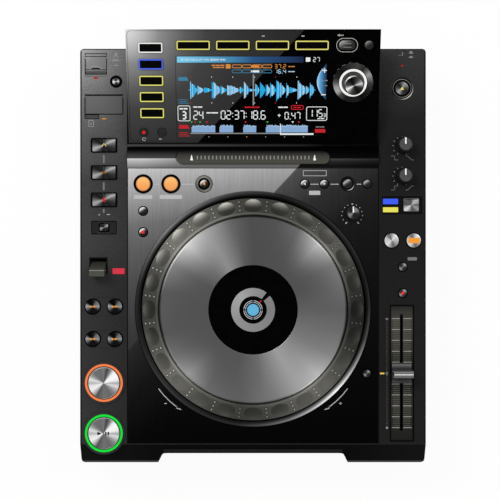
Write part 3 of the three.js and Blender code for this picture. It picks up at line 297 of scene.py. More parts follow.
def roundSlab(bm, width, depth, radius, bottom, top, bevel=0.2, material=0, x=0, y=0):
    rings = [roundRect(width, depth, radius, bottom, x, y), roundRect(width, depth, radius, top - bevel, x, y)]
    for turn in (30, 60, 90):
        inset = bevel * (1 - math.cos(math.radians(turn)))
        height = top - bevel + bevel * math.sin(math.radians(turn))
        rings.append(
            roundRect(width - inset * 2, depth - inset * 2, max(radius - inset, 0.02), height, x, y)
        )
    return loft(bm, rings, material)


def frameSlab(bm, width, depth, radius, border, bottom, top, material=0, x=0, y=0):
    # a border of one width round a rectangle with round corners
    inner = (width - border * 2, depth - border * 2, max(radius - border, 0.05))
    rings = [
        roundRect(*inner, bottom, x, y), roundRect(width, depth, radius, bottom, x, y),
        roundRect(width, depth, radius, top, x, y), roundRect(*inner, top, x, y),
    ]
    return loft(bm, rings, material, True)


def bar(bm, path, width, bottom=-0.02, top=0.05, material=0, closed=False):
    # a thin ribbon of one width along a path
    count = len(path)
    rings = []
    for index, (x, y) in enumerate(path):
        before = path[index - 1] if index or closed else path[0]
        after = path[(index + 1) % count] if index < count - 1 or closed else path[-1]
        along = Vector((after[0] - before[0], after[1] - before[1])).normalized()
        acrossX, acrossY = -along.y * width / 2, along.x * width / 2
        rings.append([
            Vector((x + acrossX, y + acrossY, bottom)), Vector((x - acrossX, y - acrossY, bottom)),
            Vector((x - acrossX, y - acrossY, top)), Vector((x + acrossX, y + acrossY, top)),
        ])
    return loft(bm, rings, material, closed)


def blot(bm, outline, bottom=-0.02, top=0.05, material=0):
    # a flat printed shape
    return loft(bm, [[Vector((x, y, z)) for x, y in outline] for z in (bottom, top)], material)


def arcPath(radius, fromAngle, toAngle, steps=24, x=0, y=0):
    angles = [math.radians(fromAngle + (toAngle - fromAngle) * step / steps) for step in range(steps + 1)]
    return [(x + radius * math.cos(a), y + radius * math.sin(a)) for a in angles]


def makePiece(
    name, bm, materials, body="player", replaced=(), place=(0, 0, 0), tilt=0.0, sharp=34
):
    bmesh.ops.recalc_face_normals(bm, faces=bm.faces)
    bm.transform(Matrix.Scale(mm, 4))
    mesh = bpy.data.meshes.new(name)
    bm.to_mesh(mesh)
    bm.free()
    for material in materials:
        mesh.materials.append(material)
    mesh.shade_smooth()
    mesh.set_sharp_from_angle(angle=math.radians(sharp))
    piece = bpy.data.objects.new(name, mesh)
    scene.collection.objects.link(piece)
    piece.location = [value * mm for value in place]
    piece.rotation_euler.x = tilt
    weighted = piece.modifiers.new("weightedNormals", "WEIGHTED_NORMAL")
    weighted.keep_sharp = True
    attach(piece, body)
    if replaced:
        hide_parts(*replaced)
    return piece


def pieceName(node):
    words = node.split("_")
    return words[0] + "".join(word.capitalize() for word in words[1:])


def softenEdges(piece, width, segments):
    bevel = piece.modifiers.new("softEdge", "BEVEL")
    bevel.width = width * mm
    bevel.segments = segments
    bevel.limit_method = "ANGLE"


def dress(node, material):
    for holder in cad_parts[node].material_slots:
        holder.material = material


def centreOf(node):
    low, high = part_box(node)
    return [(a + b) / 2 / mm for a, b in zip(low, high)]


def cornersOf(node):
    low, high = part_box(node)
    return [v / mm for v in low], [v / mm for v in high]


# Places that everything is set out from
deckTop = cornersOf("display_housing")[0][2]
jogX, jogY, _ = centreOf("jog_plate")
body = dict(zip(("low", "high"), cornersOf("upper_cabinet")))
housing = dict(zip(("low", "high"), cornersOf("display_housing")))
panel = {"tilt": math.radians(19.7), "length": 104.0, "width": 228.5}
panelOrigin = (
    0.0,
    housing["high"][1] - panel["length"] * math.cos(panel["tilt"]),
    housing["high"][2] - panel["length"] * math.sin(panel["tilt"]),
)
deckFront = jogY - 125.05
plateRear = housing["low"][1]


def onDeck(x, y, rise=0.0):
    return (x, y, deckTop + rise)


# Camera, world, floor and lamps
view = {"x": -2.78, "y": 0.68, "height": 1163.5, "lens": 85.3}
camera = bpy.data.cameras.new("viewCamera")
camera.lens = view["lens"]
camera.sensor_width = 36.0
camera.clip_end = 20.0
cameraHolder = bpy.data.objects.new("viewCamera", camera)
cameraHolder.location = (view["x"] * mm, view["y"] * mm, view["height"] * mm)
scene.collection.objects.link(cameraHolder)
scene.camera = cameraHolder

room = {"shown": 1.0, "lighting": 0.56, "floorSize": 8.0, "floorShadow": 0.06}


def shownOrLighting(tree):
    # white where the room itself, or its mirror image, is seen, and less as a source of light
    ray = addNode(tree, "LightPath")
    seen = addNode(
        tree,
        "Math",
        {"operation": "MAXIMUM"},
        {0: ray.outputs["Is Camera Ray"], 1: ray.outputs["Is Glossy Ray"]},
    )
    through = addNode(tree, "Math", {"operation": "MAXIMUM"}, {0: seen, 1: ray.outputs["Is Transmission Ray"]})
    limits = {"To Min": room["lighting"], "To Max": room["shown"]}
    return addNode(tree, "MapRange", limits, {"Value": through})


world = bpy.data.worlds.new("whiteRoom")
world.use_nodes = True
world.node_tree.nodes.clear()
scene.world = world
sky = addNode(
    world.node_tree, "Background", {"Color": linear("#ff")}, {"Strength": shownOrLighting(world.node_tree)}
)
addNode(world.node_tree, "OutputWorld", {}, {"Surface": sky})

# White table: matt lacquer, plain white with a faint soft shadow under the player
tableWhite, tree = startMaterial("tableWhiteMattLacquer")
glow = addNode(tree, "Emission", {"Color": linear("#ff")}, {"Strength": shownOrLighting(tree)})
matt = addNode(tree, "BsdfDiffuse", {"Color": linear("#fa")})
both = addNode(tree, "MixShader", {0: room["floorShadow"]}, {1: glow, 2: matt})
addNode(tree, "OutputMaterial", {}, {"Surface": both})
floorMesh = bpy.data.meshes.new("floor")
reach = room["floorSize"] / 2
floorMesh.from_pydata(
    [(-reach, -reach, 0), (reach, -reach, 0), (reach, reach, 0), (-reach, reach, 0)], [], [(0, 1, 2, 3)]
)
floorMesh.materials.append(tableWhite)
floor = bpy.data.objects.new("floor", floorMesh)
scene.collection.objects.link(floor)

lamps = {
    "keyLamp": {"place": (-1.0, 1.0, 1.7), "size": 0.9, "power": 20.0},
    "fillLamp": {"place": (1.2, 0.7, 1.6), "size": 1.1, "power": 8.0},
}
for name, lamp in lamps.items():
    light = bpy.data.lights.new(name, "AREA")
    light.size = lamp["size"]
    light.energy = lamp["power"]
    holder = bpy.data.objects.new(name, light)
    holder.location = lamp["place"]
    holder.rotation_euler = (-Vector(lamp["place"])).to_track_quat("-Z", "Y").to_euler()
    scene.collection.objects.link(holder)
print("room and camera are set")

# The cabinet
# Satin moulded ABS with a fine grain: charcoal strips under a painted sheen that pales them to the rear left, and a
# near black chin
cabinet = {
    "run": 300.0,
    "leftTones": {
        0: "#97", 0.043: "#85", 0.083: "#81", 0.127: "#6e", 0.19: "#60", 0.267: "#50", 0.35: "#48", 0.41: "#3b",
        0.5: "#3b", 0.61: "#3a", 0.73: "#30", 0.84: "#2f", 1: "#30",
    },
    "rightTones": {0: "#3f", 0.04: "#38", 0.12: "#2f", 0.16: "#2b", 0.22: "#21", 0.3: "#1f", 0.6: "#1d", 1: "#1f"},
    "dark": "#030303",
    "light": "#070707",
    "foot": "#12",
    "frontEdge": "#42",
    "outline": "#10",
    "sideLine": 1.1,
    "rearLine": 0.7,
    "seam": 116.65,
    "footFrom": 80.0,
    "footTo": 150.0,
    "faceDrop": 10.7,
}
stripAbs, tree = startMaterial("stripAbsSatinPaintedSheen")
place = placeInMm(tree)
tones = {}
for side, cornerX in (("left", body["low"][0]), ("right", 116.0)):
    away = addNode(
        tree, "VectorMath", {"operation": "SUBTRACT", 1: (cornerX, body["high"][1], deckTop)}, {0: place}
    )
    drawn = addNode(tree, "VectorMath", {"operation": "MULTIPLY", 1: (0.5, 1, 1)}, {0: away})
    tones[side] = toneAlong(tree, reachOf(tree, drawn), 0, cabinet["run"], cabinet[side + "Tones"])
# the painted sheen is a little paler along the left strip's outer side
limits = {"From Min": -158.0, "From Max": -120.0, "To Min": 1.2, "To Max": 0.8}
outwards = addNode(tree, "MapRange", limits, {"Value": axisOf(tree, place, 0)})
tones["left"] = scaleColour(tree, tones["left"], outwards)
isRight = addNode(tree, "Math", {"operation": "GREATER_THAN", 1: 0.0}, {0: axisOf(tree, place, 0)})
deckPaintedSheen = blendColours(tree, isRight, tones["left"], tones["right"])
speckled = scaleColour(tree, deckPaintedSheen, unevenShare(tree, place, 0.2, 1.3))
# the outline: dark lines along the outer edges and beside the plate
outside = addNode(tree, "Math", {"operation": "ABSOLUTE"}, {0: axisOf(tree, place, 0)})
lineShares = [
    addNode(tree, "MapRange", {"From Min": start, "From Max": end}, {"Value": source})
    for source, start, end in (
        (outside, body["high"][0] - cabinet["sideLine"] - 0.4, body["high"][0] - cabinet["sideLine"]),
        (outside, cabinet["seam"] + 0.2, cabinet["seam"]),
        (axisOf(tree, place, 1), body["high"][1] - cabinet["rearLine"] - 0.3, body["high"][1] - cabinet["rearLine"]),
    )
]
either = addNode(tree, "Math", {"operation": "MAXIMUM"}, {0: lineShares[0], 1: lineShares[1]})
anyLine = addNode(tree, "Math", {"operation": "MAXIMUM"}, {0: either, 1: lineShares[2]})
speckled = blendColours(tree, anyLine, speckled, linear(cabinet["outline"]))
# the chin, painted darker than the deck as shade on its slope: near black in the middle, a shade lighter on the
# feet, and a painted highlight along its front edge
footLimits = {"From Min": cabinet["footFrom"], "From Max": cabinet["footTo"]}
footShare = addNode(tree, "MapRange", footLimits, {"Value": outside})
middle = unevenColour(tree, place, cabinet["dark"], cabinet["light"], 4.0)
chin = blendColours(tree, footShare, middle, linear(cabinet["foot"]))
limits = {"From Min": body["low"][1] + 2.0, "From Max": body["low"][1] + 1.7}
frontHighlightRun = addNode(tree, "MapRange", limits, {"Value": axisOf(tree, place, 1)})
faceTop = deckTop - cabinet["faceDrop"]
limits = {"From Min": faceTop - 0.2, "From Max": faceTop}
aboveFace = addNode(tree, "MapRange", limits, {"Value": axisOf(tree, place, 2)})
frontHighlightShare = addNode(tree, "Math", {"operation": "MULTIPLY"}, {0: frontHighlightRun, 1: aboveFace})
low = blendColours(tree, frontHighlightShare, chin, linear(cabinet["frontEdge"]))
limits = {"From Min": deckTop - 0.4, "From Max": deckTop - 0.1}
isTop = addNode(tree, "MapRange", limits, {"Value": axisOf(tree, place, 2)})
closeMaterial(
    tree,
    {"Specular IOR Level": 0.02, "Roughness": 0.5},
    {"Base Color": blendColours(tree, isTop, low, speckled), "Normal": grainBump(tree, place, 0.9, 0.05)},
)
dress("upper_cabinet", stripAbs)

# Brushed anodised aluminium: long streaks, a painted reflection that is pale at the rear edge and darkens to the
# front, and painted shade past a straight edge
plate = {
    "run": 260.0,
    "tones": {
        0: "#ae", 0.03: "#a0", 0.115: "#84", 0.204: "#62", 0.292: "#53", 0.398: "#46", 0.539: "#38", 0.679: "#2d",
        0.82: "#1c", 0.945: "#12", 1: "#10",
    },
    "shadeFrom": (38.9, 74.8, 0.0),
    "shadeNormal": (0.733, -0.680, 0.0),
    "shadeRun": 200.0,
    "shades": {
        0: "#4d", 0.01: "#46", 0.055: "#40", 0.16: "#2e", 0.235: "#29", 0.31: "#20", 0.4: "#1d", 0.6: "#1b",
        1: "#19",
    },
    # how the shade deepens to the front
    "fallRun": 252.0,
    "falls": {
        0: "#ff", 0.1: "#ed", 0.19: "#db", 0.24: "#d0", 0.36: "#bc", 0.59: "#9c", 0.67: "#91", 0.85: "#82",
        1: "#6c",
    },
}
plateMetal, tree = startMaterial("plateAluminiumBrushedPaintedReflection")
place = placeInMm(tree)
fall = addNode(tree, "VectorMath", {"operation": "DOT_PRODUCT", 1: (0.12, -0.99, 0.0)}, {0: place}).outputs["Value"]
start = plateRear * -0.99 + 116.0 * -0.12
plateReflection = toneAlong(tree, fall, start, start + plate["run"], plate["tones"])
beyond = beyondLine(tree, place, plate["shadeFrom"], plate["shadeNormal"])
shade = toneAlong(tree, beyond, 0, plate["shadeRun"], plate["shades"])
inShade = addNode(tree, "MapRange", {"From Min": -0.4, "From Max": 0.4}, {"Value": beyond})
deepened = toneAlong(tree, axisOf(tree, place, 1), plateRear, plateRear - plate["fallRun"], plate["falls"])
shaded = addNode(tree, "VectorMath", {"operation": "MULTIPLY"}, {0: shade, 1: deepened})
litTone = blendColours(tree, inShade, plateReflection, shaded)
outside = addNode(tree, "Math", {"operation": "ABSOLUTE"}, {0: axisOf(tree, place, 0)})
atSeam = addNode(tree, "MapRange", {"From Min": 115.65, "From Max": 115.85}, {"Value": outside})
litTone = blendColours(tree, atSeam, litTone, linear("#12"))
streaks = unevenShare(tree, place, 0.09, 1.1, (1, 0.03, 1))
closeMaterial(
    tree,
    {"Metallic": 1.0, "Roughness": 0.42},
    {"Base Color": scaleColour(tree, litTone, streaks), "Normal": grainBump(tree, place, 0.5, 0.01, (1, 0.03, 1))},
)
dress("centre_panel", plateMetal)

# Moulded ABS with a fine matt grain, where the shell is hard to see
plainBlack = mouldedPlastic("shellAbsMattMoulded", "#0d0e0e", "#151616", 5.0)
# Polished black ABS: near black with a soft sheen
glossBlack = mouldedPlastic("shellAbsPolished", "#010101", "#030303", 6.0, 2.0, 0.16, 0.01, 0.0)
for node in ("front_panel", "rear_panel", "socket_carrier"):
    dress(node, plainBlack)
dress("jog_hub", glossBlack)

# Powder-coated sheet steel: black with a fine orange-peel texture
trayCoat = mouldedPlastic("traySteelPowderCoated", "#17", "#1f", 2.0, 1.2, 0.6, 0.2, 0.06)
dress("lower_chassis", trayCoat)

# Zinc-plated sheet steel of the drive's case: mid gray with cloudy grain
driveZinc, tree = startMaterial("driveCaseSteelZincPlated")
place = placeInMm(tree)
closeMaterial(
    tree,
    {"Metallic": 1.0, "Roughness": 0.4},
    {
        "Base Color": unevenColour(tree, place, "#8c8e90", "#a4a6a8", 5.0),
        "Normal": grainBump(tree, place, 1.5, 0.02)
    },
)
dress("disc_drive", driveZinc)

# Epoxy glass with green solder mask: satin green, a shade lighter over the copper
boardGreen = mouldedPlastic("boardEpoxySolderMask", "#12402a", "#1b5638", 2.5, 2.5, 0.4, 0.3, 0.02)
dress("main_board", boardGreen)

# Moulded rubber of the feet: matt dark gray with a powdery bloom
footRubber = mouldedPlastic("footRubberMoulded", "#1c", "#26", 3.0, 0.6, 0.85, 0.2, 0.05)
for node in ("foot_front_left", "foot_front_right", "foot_rear_left", "foot_rear_right"):
    dress(node, footRubber)
print("cabinet is dressed")

# The display's housing and panel
# Polished black ABS with a painted reflection of a pale window: white at the rear left, black past its straight edge
display = {
    "tones": {0: "#e6", 0.16: "#8e", 0.22: "#78", 0.28: "#60", 0.38: "#44", 0.55: "#34", 0.9: "#26", 1: "#24"},
    "run": 190.0,
    "edgeFront": (-50.7, 0.0),
    "edgeRear": (46.3, 104.0),
}


# The ridge in front of the panel: its slopes carry a painted reflection of the room in bands that run from side to
# side, and painted shade past the plate's straight edge
ridge = {
    "front": plateRear, "rear": panelOrigin[1], "crest": 85.35,
    "lit": {
        0: "#64", 0.047: "#87", 0.129: "#9b", 0.283: "#be", 0.352: "#d4", 0.38: "#b4", 0.39: "#2b", 0.412: "#44",
        0.498: "#3a", 0.584: "#2a", 0.657: "#16", 0.721: "#04", 0.83: "#00", 0.845: "#12", 0.863: "#4b",
        0.918: "#54", 0.953: "#14", 1: "#12",
    },
    "dark": {
        0: "#22", 0.047: "#0e", 0.129: "#17", 0.206: "#20", 0.283: "#2d", 0.352: "#42", 0.39: "#1a", 0.412: "#0c",
        1: "#00",
    },
    "frontSpan": (-104.0, -72.0), "rearSpan": (-112.0, 112.0), "rightSpan": (80.0, 110.0),
    "frontFade": {0: "#ff", 1: "#cf"},
    "rearFade": {0: "#ff", 0.18: "#f2", 0.32: "#e8", 0.45: "#c2", 0.54: "#ac", 0.69: "#92", 0.8: "#40", 1: "#30"},
}


def ridgeTone(tree, place):
    across, along = axisOf(tree, place, 0), axisOf(tree, place, 1)
    litBands = toneAlong(tree, along, ridge["front"], ridge["rear"], ridge["lit"])
    darkBands = toneAlong(tree, along, ridge["front"], ridge["rear"], ridge["dark"])
    frontFade = toneAlong(tree, across, *ridge["frontSpan"], ridge["frontFade"])
    rearFade = toneAlong(tree, across, *ridge["rearSpan"], ridge["rearFade"])
    frontLit = addNode(tree, "VectorMath", {"operation": "MULTIPLY"}, {0: litBands, 1: frontFade})
    rearLit = addNode(tree, "VectorMath", {"operation": "MULTIPLY"}, {0: litBands, 1: rearFade})
    beyond = beyondLine(tree, place, plate["shadeFrom"], plate["shadeNormal"])
    pastLine = addNode(tree, "MapRange", {"From Min": -0.4, "From Max": 0.4}, {"Value": beyond})
    limits = dict(zip(("From Min", "From Max", "To Min", "To Max"), (*ridge["rightSpan"], 1.0, 0.5)))
    rightFade = addNode(tree, "MapRange", limits, {"Value": across})
    front = blendColours(tree, pastLine, frontLit, scaleColour(tree, darkBands, rightFade))
    isRear = addNode(
        tree, "MapRange", {"From Min": ridge["crest"] - 0.1, "From Max": ridge["crest"]}, {"Value": along}
    )
    return blendColours(tree, isRear, front, rearLit)


def panelPaintedReflection(name, hasRidge=False):
    # a painted reflection of a window that is laid out on the tilted panel, and the ridge's painted bands in front
    # of it
    material, tree = startMaterial(name)
    framePlace = placeInMm(tree)
    moved = addNode(tree, "VectorMath", {"operation": "SUBTRACT", 1: panelOrigin}, {0: framePlace})
    turned = {"rotation_type": "X_AXIS", "Angle": -panel["tilt"]}
    place = addNode(tree, "VectorRotate", turned, {"Vector": moved})
    corner = (-panel["width"] / 2, panel["length"], 0.0)
    away = addNode(tree, "VectorMath", {"operation": "SUBTRACT", 1: corner}, {0: place})
    tone = toneAlong(tree, reachOf(tree, away), 0, display["run"], display["tones"])
    (x0, y0), (x1, y1) = display["edgeFront"], display["edgeRear"]
    size = math.hypot(x1 - x0, y1 - y0)
    normal = ((y1 - y0) / size, (x0 - x1) / size, 0.0)
    beyond = beyondLine(tree, place, (x0, y0, 0.0), normal)
    isDark = addNode(tree, "MapRange", {"From Min": -0.4, "From Max": 0.4}, {"Value": beyond})
    dark = unevenColour(tree, place, "#000000", "#020202", 6.0)
    colour = blendColours(tree, isDark, tone, dark)
    if hasRidge:
        limits = {"From Min": ridge["rear"] - 0.1, "From Max": ridge["rear"] + 0.1}
        behind = addNode(tree, "MapRange", limits, {"Value": axisOf(tree, framePlace, 1)})
        colour = blendColours(tree, behind, ridgeTone(tree, framePlace), colour)
    closeMaterial(
        tree,
        {"Roughness": 0.12, "Specular IOR Level": 0.01},
        {"Base Color": colour, "Normal": grainBump(tree, place, 12.0, 0.02)},
    )
    return material


dress("display_panel", panelPaintedReflection("panelAcrylicPaintedReflection"))
dress("display_housing", panelPaintedReflection("housingAbsPaintedReflection", True))
dress("lcd_module", panelPaintedReflection("screenGlassPaintedReflection"))
print("display is dressed")

# The jog wheel
wheel = {
    "dimples": 24, "steps": 30, "dimpleReach": 95.4, "dimpleDepth": 6.2, "dimpleLength": 8.4, "sink": 1.5,
    "topFrom": 89.15, "topTo": 101.45, "topHeight": 14.0, "edgeHeight": 5.6, "rows": 34,
}


def rimHeight(radius):
    share = (radius - wheel["topFrom"]) / (wheel["topTo"] - wheel["topFrom"])
    bulge = 0.5 * math.sin(math.pi * share)
    return wheel["topHeight"] + (wheel["edgeHeight"] - wheel["topHeight"]) * share + bulge


def dimpleShare(radius, angle):
    # 0 at a dimple's rim and beyond it, 1 at its middle
    step = math.tau / wheel["dimples"]
    off = (angle + step / 2) % step - step / 2
    across = (radius - wheel["dimpleReach"]) / wheel["dimpleDepth"]
    along = off * radius / wheel["dimpleLength"]
    return max(1 - across * across - along * along, 0)


bm = bmesh.new()
sides = wheel["dimples"] * wheel["steps"]
under = [
    (9.3, -13.7), (12.3, -13.7), (12.3, 2.0), (44.0, 2.0), (44.0, 8.6), (85.95, 8.6), (95.45, 0.0), (99.45, -5.0),
    (102.45, -5.0), (102.45, 4.3), (102.3, 4.95), (101.95, 5.35),
]
above = []
for row in range(wheel["rows"] + 1):
    radius = wheel["topTo"] + (wheel["topFrom"] - wheel["topTo"]) * row / wheel["rows"]
    above.append((radius, rimHeight(radius)))
inside = [
    (88.5, 14.2), (87.7, 14.15), (87.2, 13.9), (87.0, 13.5), (87.0, 11.6), (41.0, 11.6), (41.0, 5.0),
    (9.3, 5.0)
]
rings = []
for radius, height in under + above + inside:
    ring = circle(radius, height, sides)
    if (radius, height) in above:
        for index, point in enumerate(ring):
            point.z -= wheel["sink"] * dimpleShare(radius, math.tau * index / sides)
    rings.append(ring)
for face in loft(bm, rings, 0, True):
    middle = face.calc_center_median()
    reach = math.hypot(middle.x, middle.y)
    if wheel["topFrom"] < reach < wheel["topTo"] and middle.z > 3:
        if dimpleShare(reach, math.atan2(middle.y, middle.x) % math.tau) > 0:
            face.material_index = 1
    elif 86.9 < reach < wheel["topFrom"] and middle.z > 13.2:
        face.material_index = 2


def nubRing(reach, turn, radius, rise, sides=12):
    # a ring of points round a nub, square to the slope of the rim
    slope = math.atan2(wheel["topHeight"] - wheel["edgeHeight"], wheel["topTo"] - wheel["topFrom"])
    outwards = Vector((math.cos(turn), math.sin(turn), 0.0))
    aside = Vector((-math.sin(turn), math.cos(turn), 0.0))
    down = outwards * math.cos(slope) - Vector((0, 0, math.sin(slope)))
    normal = outwards * math.sin(slope) + Vector((0, 0, math.cos(slope)))
    foot = outwards * reach + Vector((0, 0, rimHeight(reach)))
    angles = [math.tau * index / sides for index in range(sides)]
    return [foot + (down * math.cos(a) + aside * math.sin(a)) * radius + normal * rise for a in angles]


nubProfiles = (
    (3, ((1.3, -0.6), (1.3, 0.08), (1.2, 0.14))),
    (4, ((0.8, 0.0), (0.8, 0.3), (0.6, 0.5), (0.3, 0.58))),
)
for gap in range(wheel["dimples"]):
    turn = math.tau * (gap + 0.5) / wheel["dimples"]
    for reach in (91.3, 95.4, 99.5):
        for slotIndex, profile in nubProfiles:
            loft(bm, [nubRing(reach, turn, radius, rise) for radius, rise in profile], slotIndex)


def jogPaintedLight(name, stops, outerTones=None):
    # elastomer-coated ABS of the rim: matt, with painted light that is paler towards the lamps and stays put as the
    # wheel turns
    material, tree = startMaterial(name)
    place = placeInMm(tree, (jogX, jogY, deckTop), True)
    tone = tonesRound(tree, place, stops)
    if outerTones:
        outer = tonesRound(tree, place, outerTones)
        # a painted highlight gathers at the outer side of a dimple and fades to both of its ends
        reach = reachOf(tree, place)
        share = addNode(tree, "MapRange", {"From Min": 92.7, "From Max": 100.3}, {"Value": reach})
        grown = addNode(tree, "Math", {"operation": "POWER", 1: 2.0}, {0: share})
        turns = turnShare(tree, placeInMm(tree))
        steps = addNode(tree, "Math", {"operation": "MULTIPLY_ADD", 1: float(wheel["dimples"]), 2: 0.5}, {0: turns})
        between = addNode(tree, "Math", {"operation": "FRACT"}, {0: steps})
        off = addNode(tree, "Math", {"operation": "SUBTRACT", 1: 0.5}, {0: between})
        squared = addNode(tree, "Math", {"operation": "MULTIPLY"}, {0: off, 1: off})
        fade = addNode(tree, "MapRange", {"From Max": 0.11, "To Min": 1.0, "To Max": 0.25}, {"Value": squared})
        outerShare = addNode(tree, "Math", {"operation": "MULTIPLY"}, {0: grown, 1: fade})
        tone = blendColours(tree, outerShare, tone, outer)
    own = placeInMm(tree)
    # the paint has a slight olive cast
    tone = addNode(tree, "VectorMath", {"operation": "MULTIPLY", 1: (1.0, 0.985, 0.88)}, {0: tone})
    satinSkin(tree, own, tone, 0.55, 0.08, (0.08, 1.2), (0.8, 0.05))
    return material


# painted light and shade round the rim, its lip, the dimples and the nubs, in degrees about the wheel's middle
rimTones = {
    0: "#20", 22: "#3c", 37: "#5c", 52: "#4e", 67: "#42", 84: "#38", 98: "#40", 112: "#54", 127: "#68", 142: "#74",
    157: "#4c", 180: "#36", 200: "#52", 217: "#74", 232: "#62", 247: "#48", 265: "#40", 277: "#48", 292: "#60",
    307: "#74", 322: "#5a", 338: "#34", 352: "#23",
}
lipTones = {
    0: "#2e", 22: "#58", 37: "#84", 60: "#5c", 82: "#4f", 98: "#58", 120: "#80", 142: "#98", 158: "#60", 180: "#42",
    200: "#5c", 217: "#8a", 235: "#64", 262: "#3c", 290: "#60", 307: "#86", 330: "#50", 352: "#2c",
}
dimpleInner = {
    0: "#14", 30: "#38", 45: "#4a", 60: "#3c", 75: "#2c", 90: "#2a", 105: "#2d", 120: "#50", 137: "#72", 150: "#4c",
    170: "#28", 190: "#28", 210: "#50", 225: "#6e", 242: "#4c", 262: "#2c", 285: "#3c", 300: "#60", 315: "#70",
    330: "#48", 345: "#22",
}
dimpleOuter = {
    0: "#38", 30: "#58", 60: "#70", 75: "#90", 92: "#b4", 110: "#c8", 138: "#c4", 155: "#90", 170: "#60",
    185: "#54", 205: "#58", 225: "#6a", 250: "#50", 270: "#44", 300: "#5c", 315: "#66", 335: "#48", 350: "#38",
}
nubTones = {0: "#60", 40: "#90", 90: "#84", 140: "#d0", 180: "#98", 225: "#d8", 265: "#70", 310: "#c8", 345: "#60"}
nubShade = {0: "#12", 90: "#1c", 140: "#44", 180: "#28", 225: "#48", 270: "#22", 310: "#44"}
makePiece(
    "jogWheelRim",
    bm,
    [
        jogPaintedLight("rimAbsSoftTouchPaintedLight", rimTones), jogPaintedLight("dimpleAbsSoftTouchPaintedLight", dimpleInner, dimpleOuter),
        jogPaintedLight("rimLipAbsSoftTouchPaintedLight", lipTones), jogPaintedLight("nubFootAbsSoftTouchPaintedShade", nubShade),
        jogPaintedLight("nubAbsSoftTouchPaintedHighlight", nubTones),
    ],
    "jog_wheel",
    ["jog_wheel"],
    (jogX, jogY, deckTop),
    sharp=24,
)

# Spun aluminium: broad painted fans of reflected light from the middle, which narrow and brighten towards the edge
disc = {
    "inner": {
        0: "#59", 20: "#4d", 90: "#48", 100: "#54", 120: "#83", 135: "#65", 152: "#4e", 180: "#4c", 255: "#51",
        275: "#64", 300: "#95", 330: "#72",
    },
    "outer": {
        0: "#59", 30: "#75", 45: "#b2", 60: "#65", 75: "#4c", 92: "#46", 105: "#5c", 120: "#96", 135: "#c7",
        150: "#7e", 168: "#54", 195: "#52", 210: "#6c", 225: "#96", 240: "#66", 262: "#5a", 285: "#74", 300: "#9a",
        315: "#b4", 330: "#7f", 345: "#67",
    },
    # a painted highlight on the bevel at the disc's edge, and painted light in the groove inside it
    "edge": {
        0: "#40", 30: "#80", 42: "#ff", 52: "#ff", 66: "#78", 90: "#30", 110: "#70", 122: "#d8", 134: "#ff",
        150: "#d0", 166: "#60", 195: "#40", 214: "#90", 225: "#f4", 238: "#90", 262: "#48", 290: "#60", 302: "#d8",
        314: "#ff", 326: "#b0", 342: "#48",
    },
    "groove": {
        0: "#3c", 30: "#70", 45: "#d0", 60: "#58", 85: "#36", 100: "#40", 120: "#90", 140: "#e0", 155: "#a0",
        172: "#40", 195: "#3c", 217: "#90", 232: "#70", 262: "#46", 290: "#60", 308: "#c8", 322: "#98", 342: "#48",
    },
}


def paintedFanMetal(name, inner, outer, fromReach, toReach, roughness):
    # painted fans of light, set in the frame's axes so that they stay put as the wheel turns
    material, tree = startMaterial(name)
    place = placeInMm(tree, (jogX, jogY, deckTop), True)
    tones = [tonesRound(tree, place, stops) for stops in (inner, outer)]
    reach = reachOf(tree, place)
    share = addNode(tree, "MapRange", {"From Min": fromReach, "From Max": toReach}, {"Value": reach})
    grown = addNode(tree, "Math", {"operation": "POWER", 1: 2.2}, {0: share})
    rings = addNode(tree, "CombineXYZ", {}, {0: reach})
    # the lathe's feed is about 0.1 mm; the rings are drawn 0.9 mm apart so that they show
    grooves = addNode(tree, "TexNoise", {"Scale": 1.1, "Detail": 1.0}, {"Vector": rings})
    limits = {"From Min": 0.3, "From Max": 0.7, "To Min": 0.97, "To Max": 1.03}
    ringed = addNode(tree, "MapRange", limits, {"Value": grooves})
    closeMaterial(
        tree,
        {"Metallic": 1.0, "Roughness": roughness},
        {
            "Base Color": scaleColour(tree, blendColours(tree, grown, *tones), ringed),
            "Normal": addNode(tree, "Bump", {"Strength": 0.2, "Distance": 0.02 * mm}, {"Height": grooves}),
        },
    )
    return material


bm = bmesh.new()
profile = [
    (40.65, 12.2), (86.1, 12.2), (86.1, 13.6), (85.9, 14.1), (85.1, 15.0), (84.2, 15.0), (41.4, 15.0), (40.9, 14.8),
    (40.65, 14.4),
]
for face in lathe(bm, profile, 240, 0, closed=True):
    middle = face.calc_center_median()
    reach = math.hypot(middle.x, middle.y)
    if reach > 84.2 and middle.z > 13.7:
        face.material_index = 1 if reach > 85.1 else 2
makePiece(
    "jogPlateDisc",
    bm,
    [
        paintedFanMetal("discAluminiumSpunPaintedFans", disc["inner"], disc["outer"], 42.0, 85.0, 0.4),
        paintedFanMetal("discEdgeAluminiumTurnedPaintedHighlight", disc["edge"], disc["edge"], 42.0, 85.0, 0.3),
        paintedFanMetal("discGrooveAluminiumTurnedPaintedLight", disc["groove"], disc["groove"], 42.0, 85.0, 0.4),
    ],
    "jog_plate",
    ["jog_plate"],
    (jogX, jogY, deckTop),
)

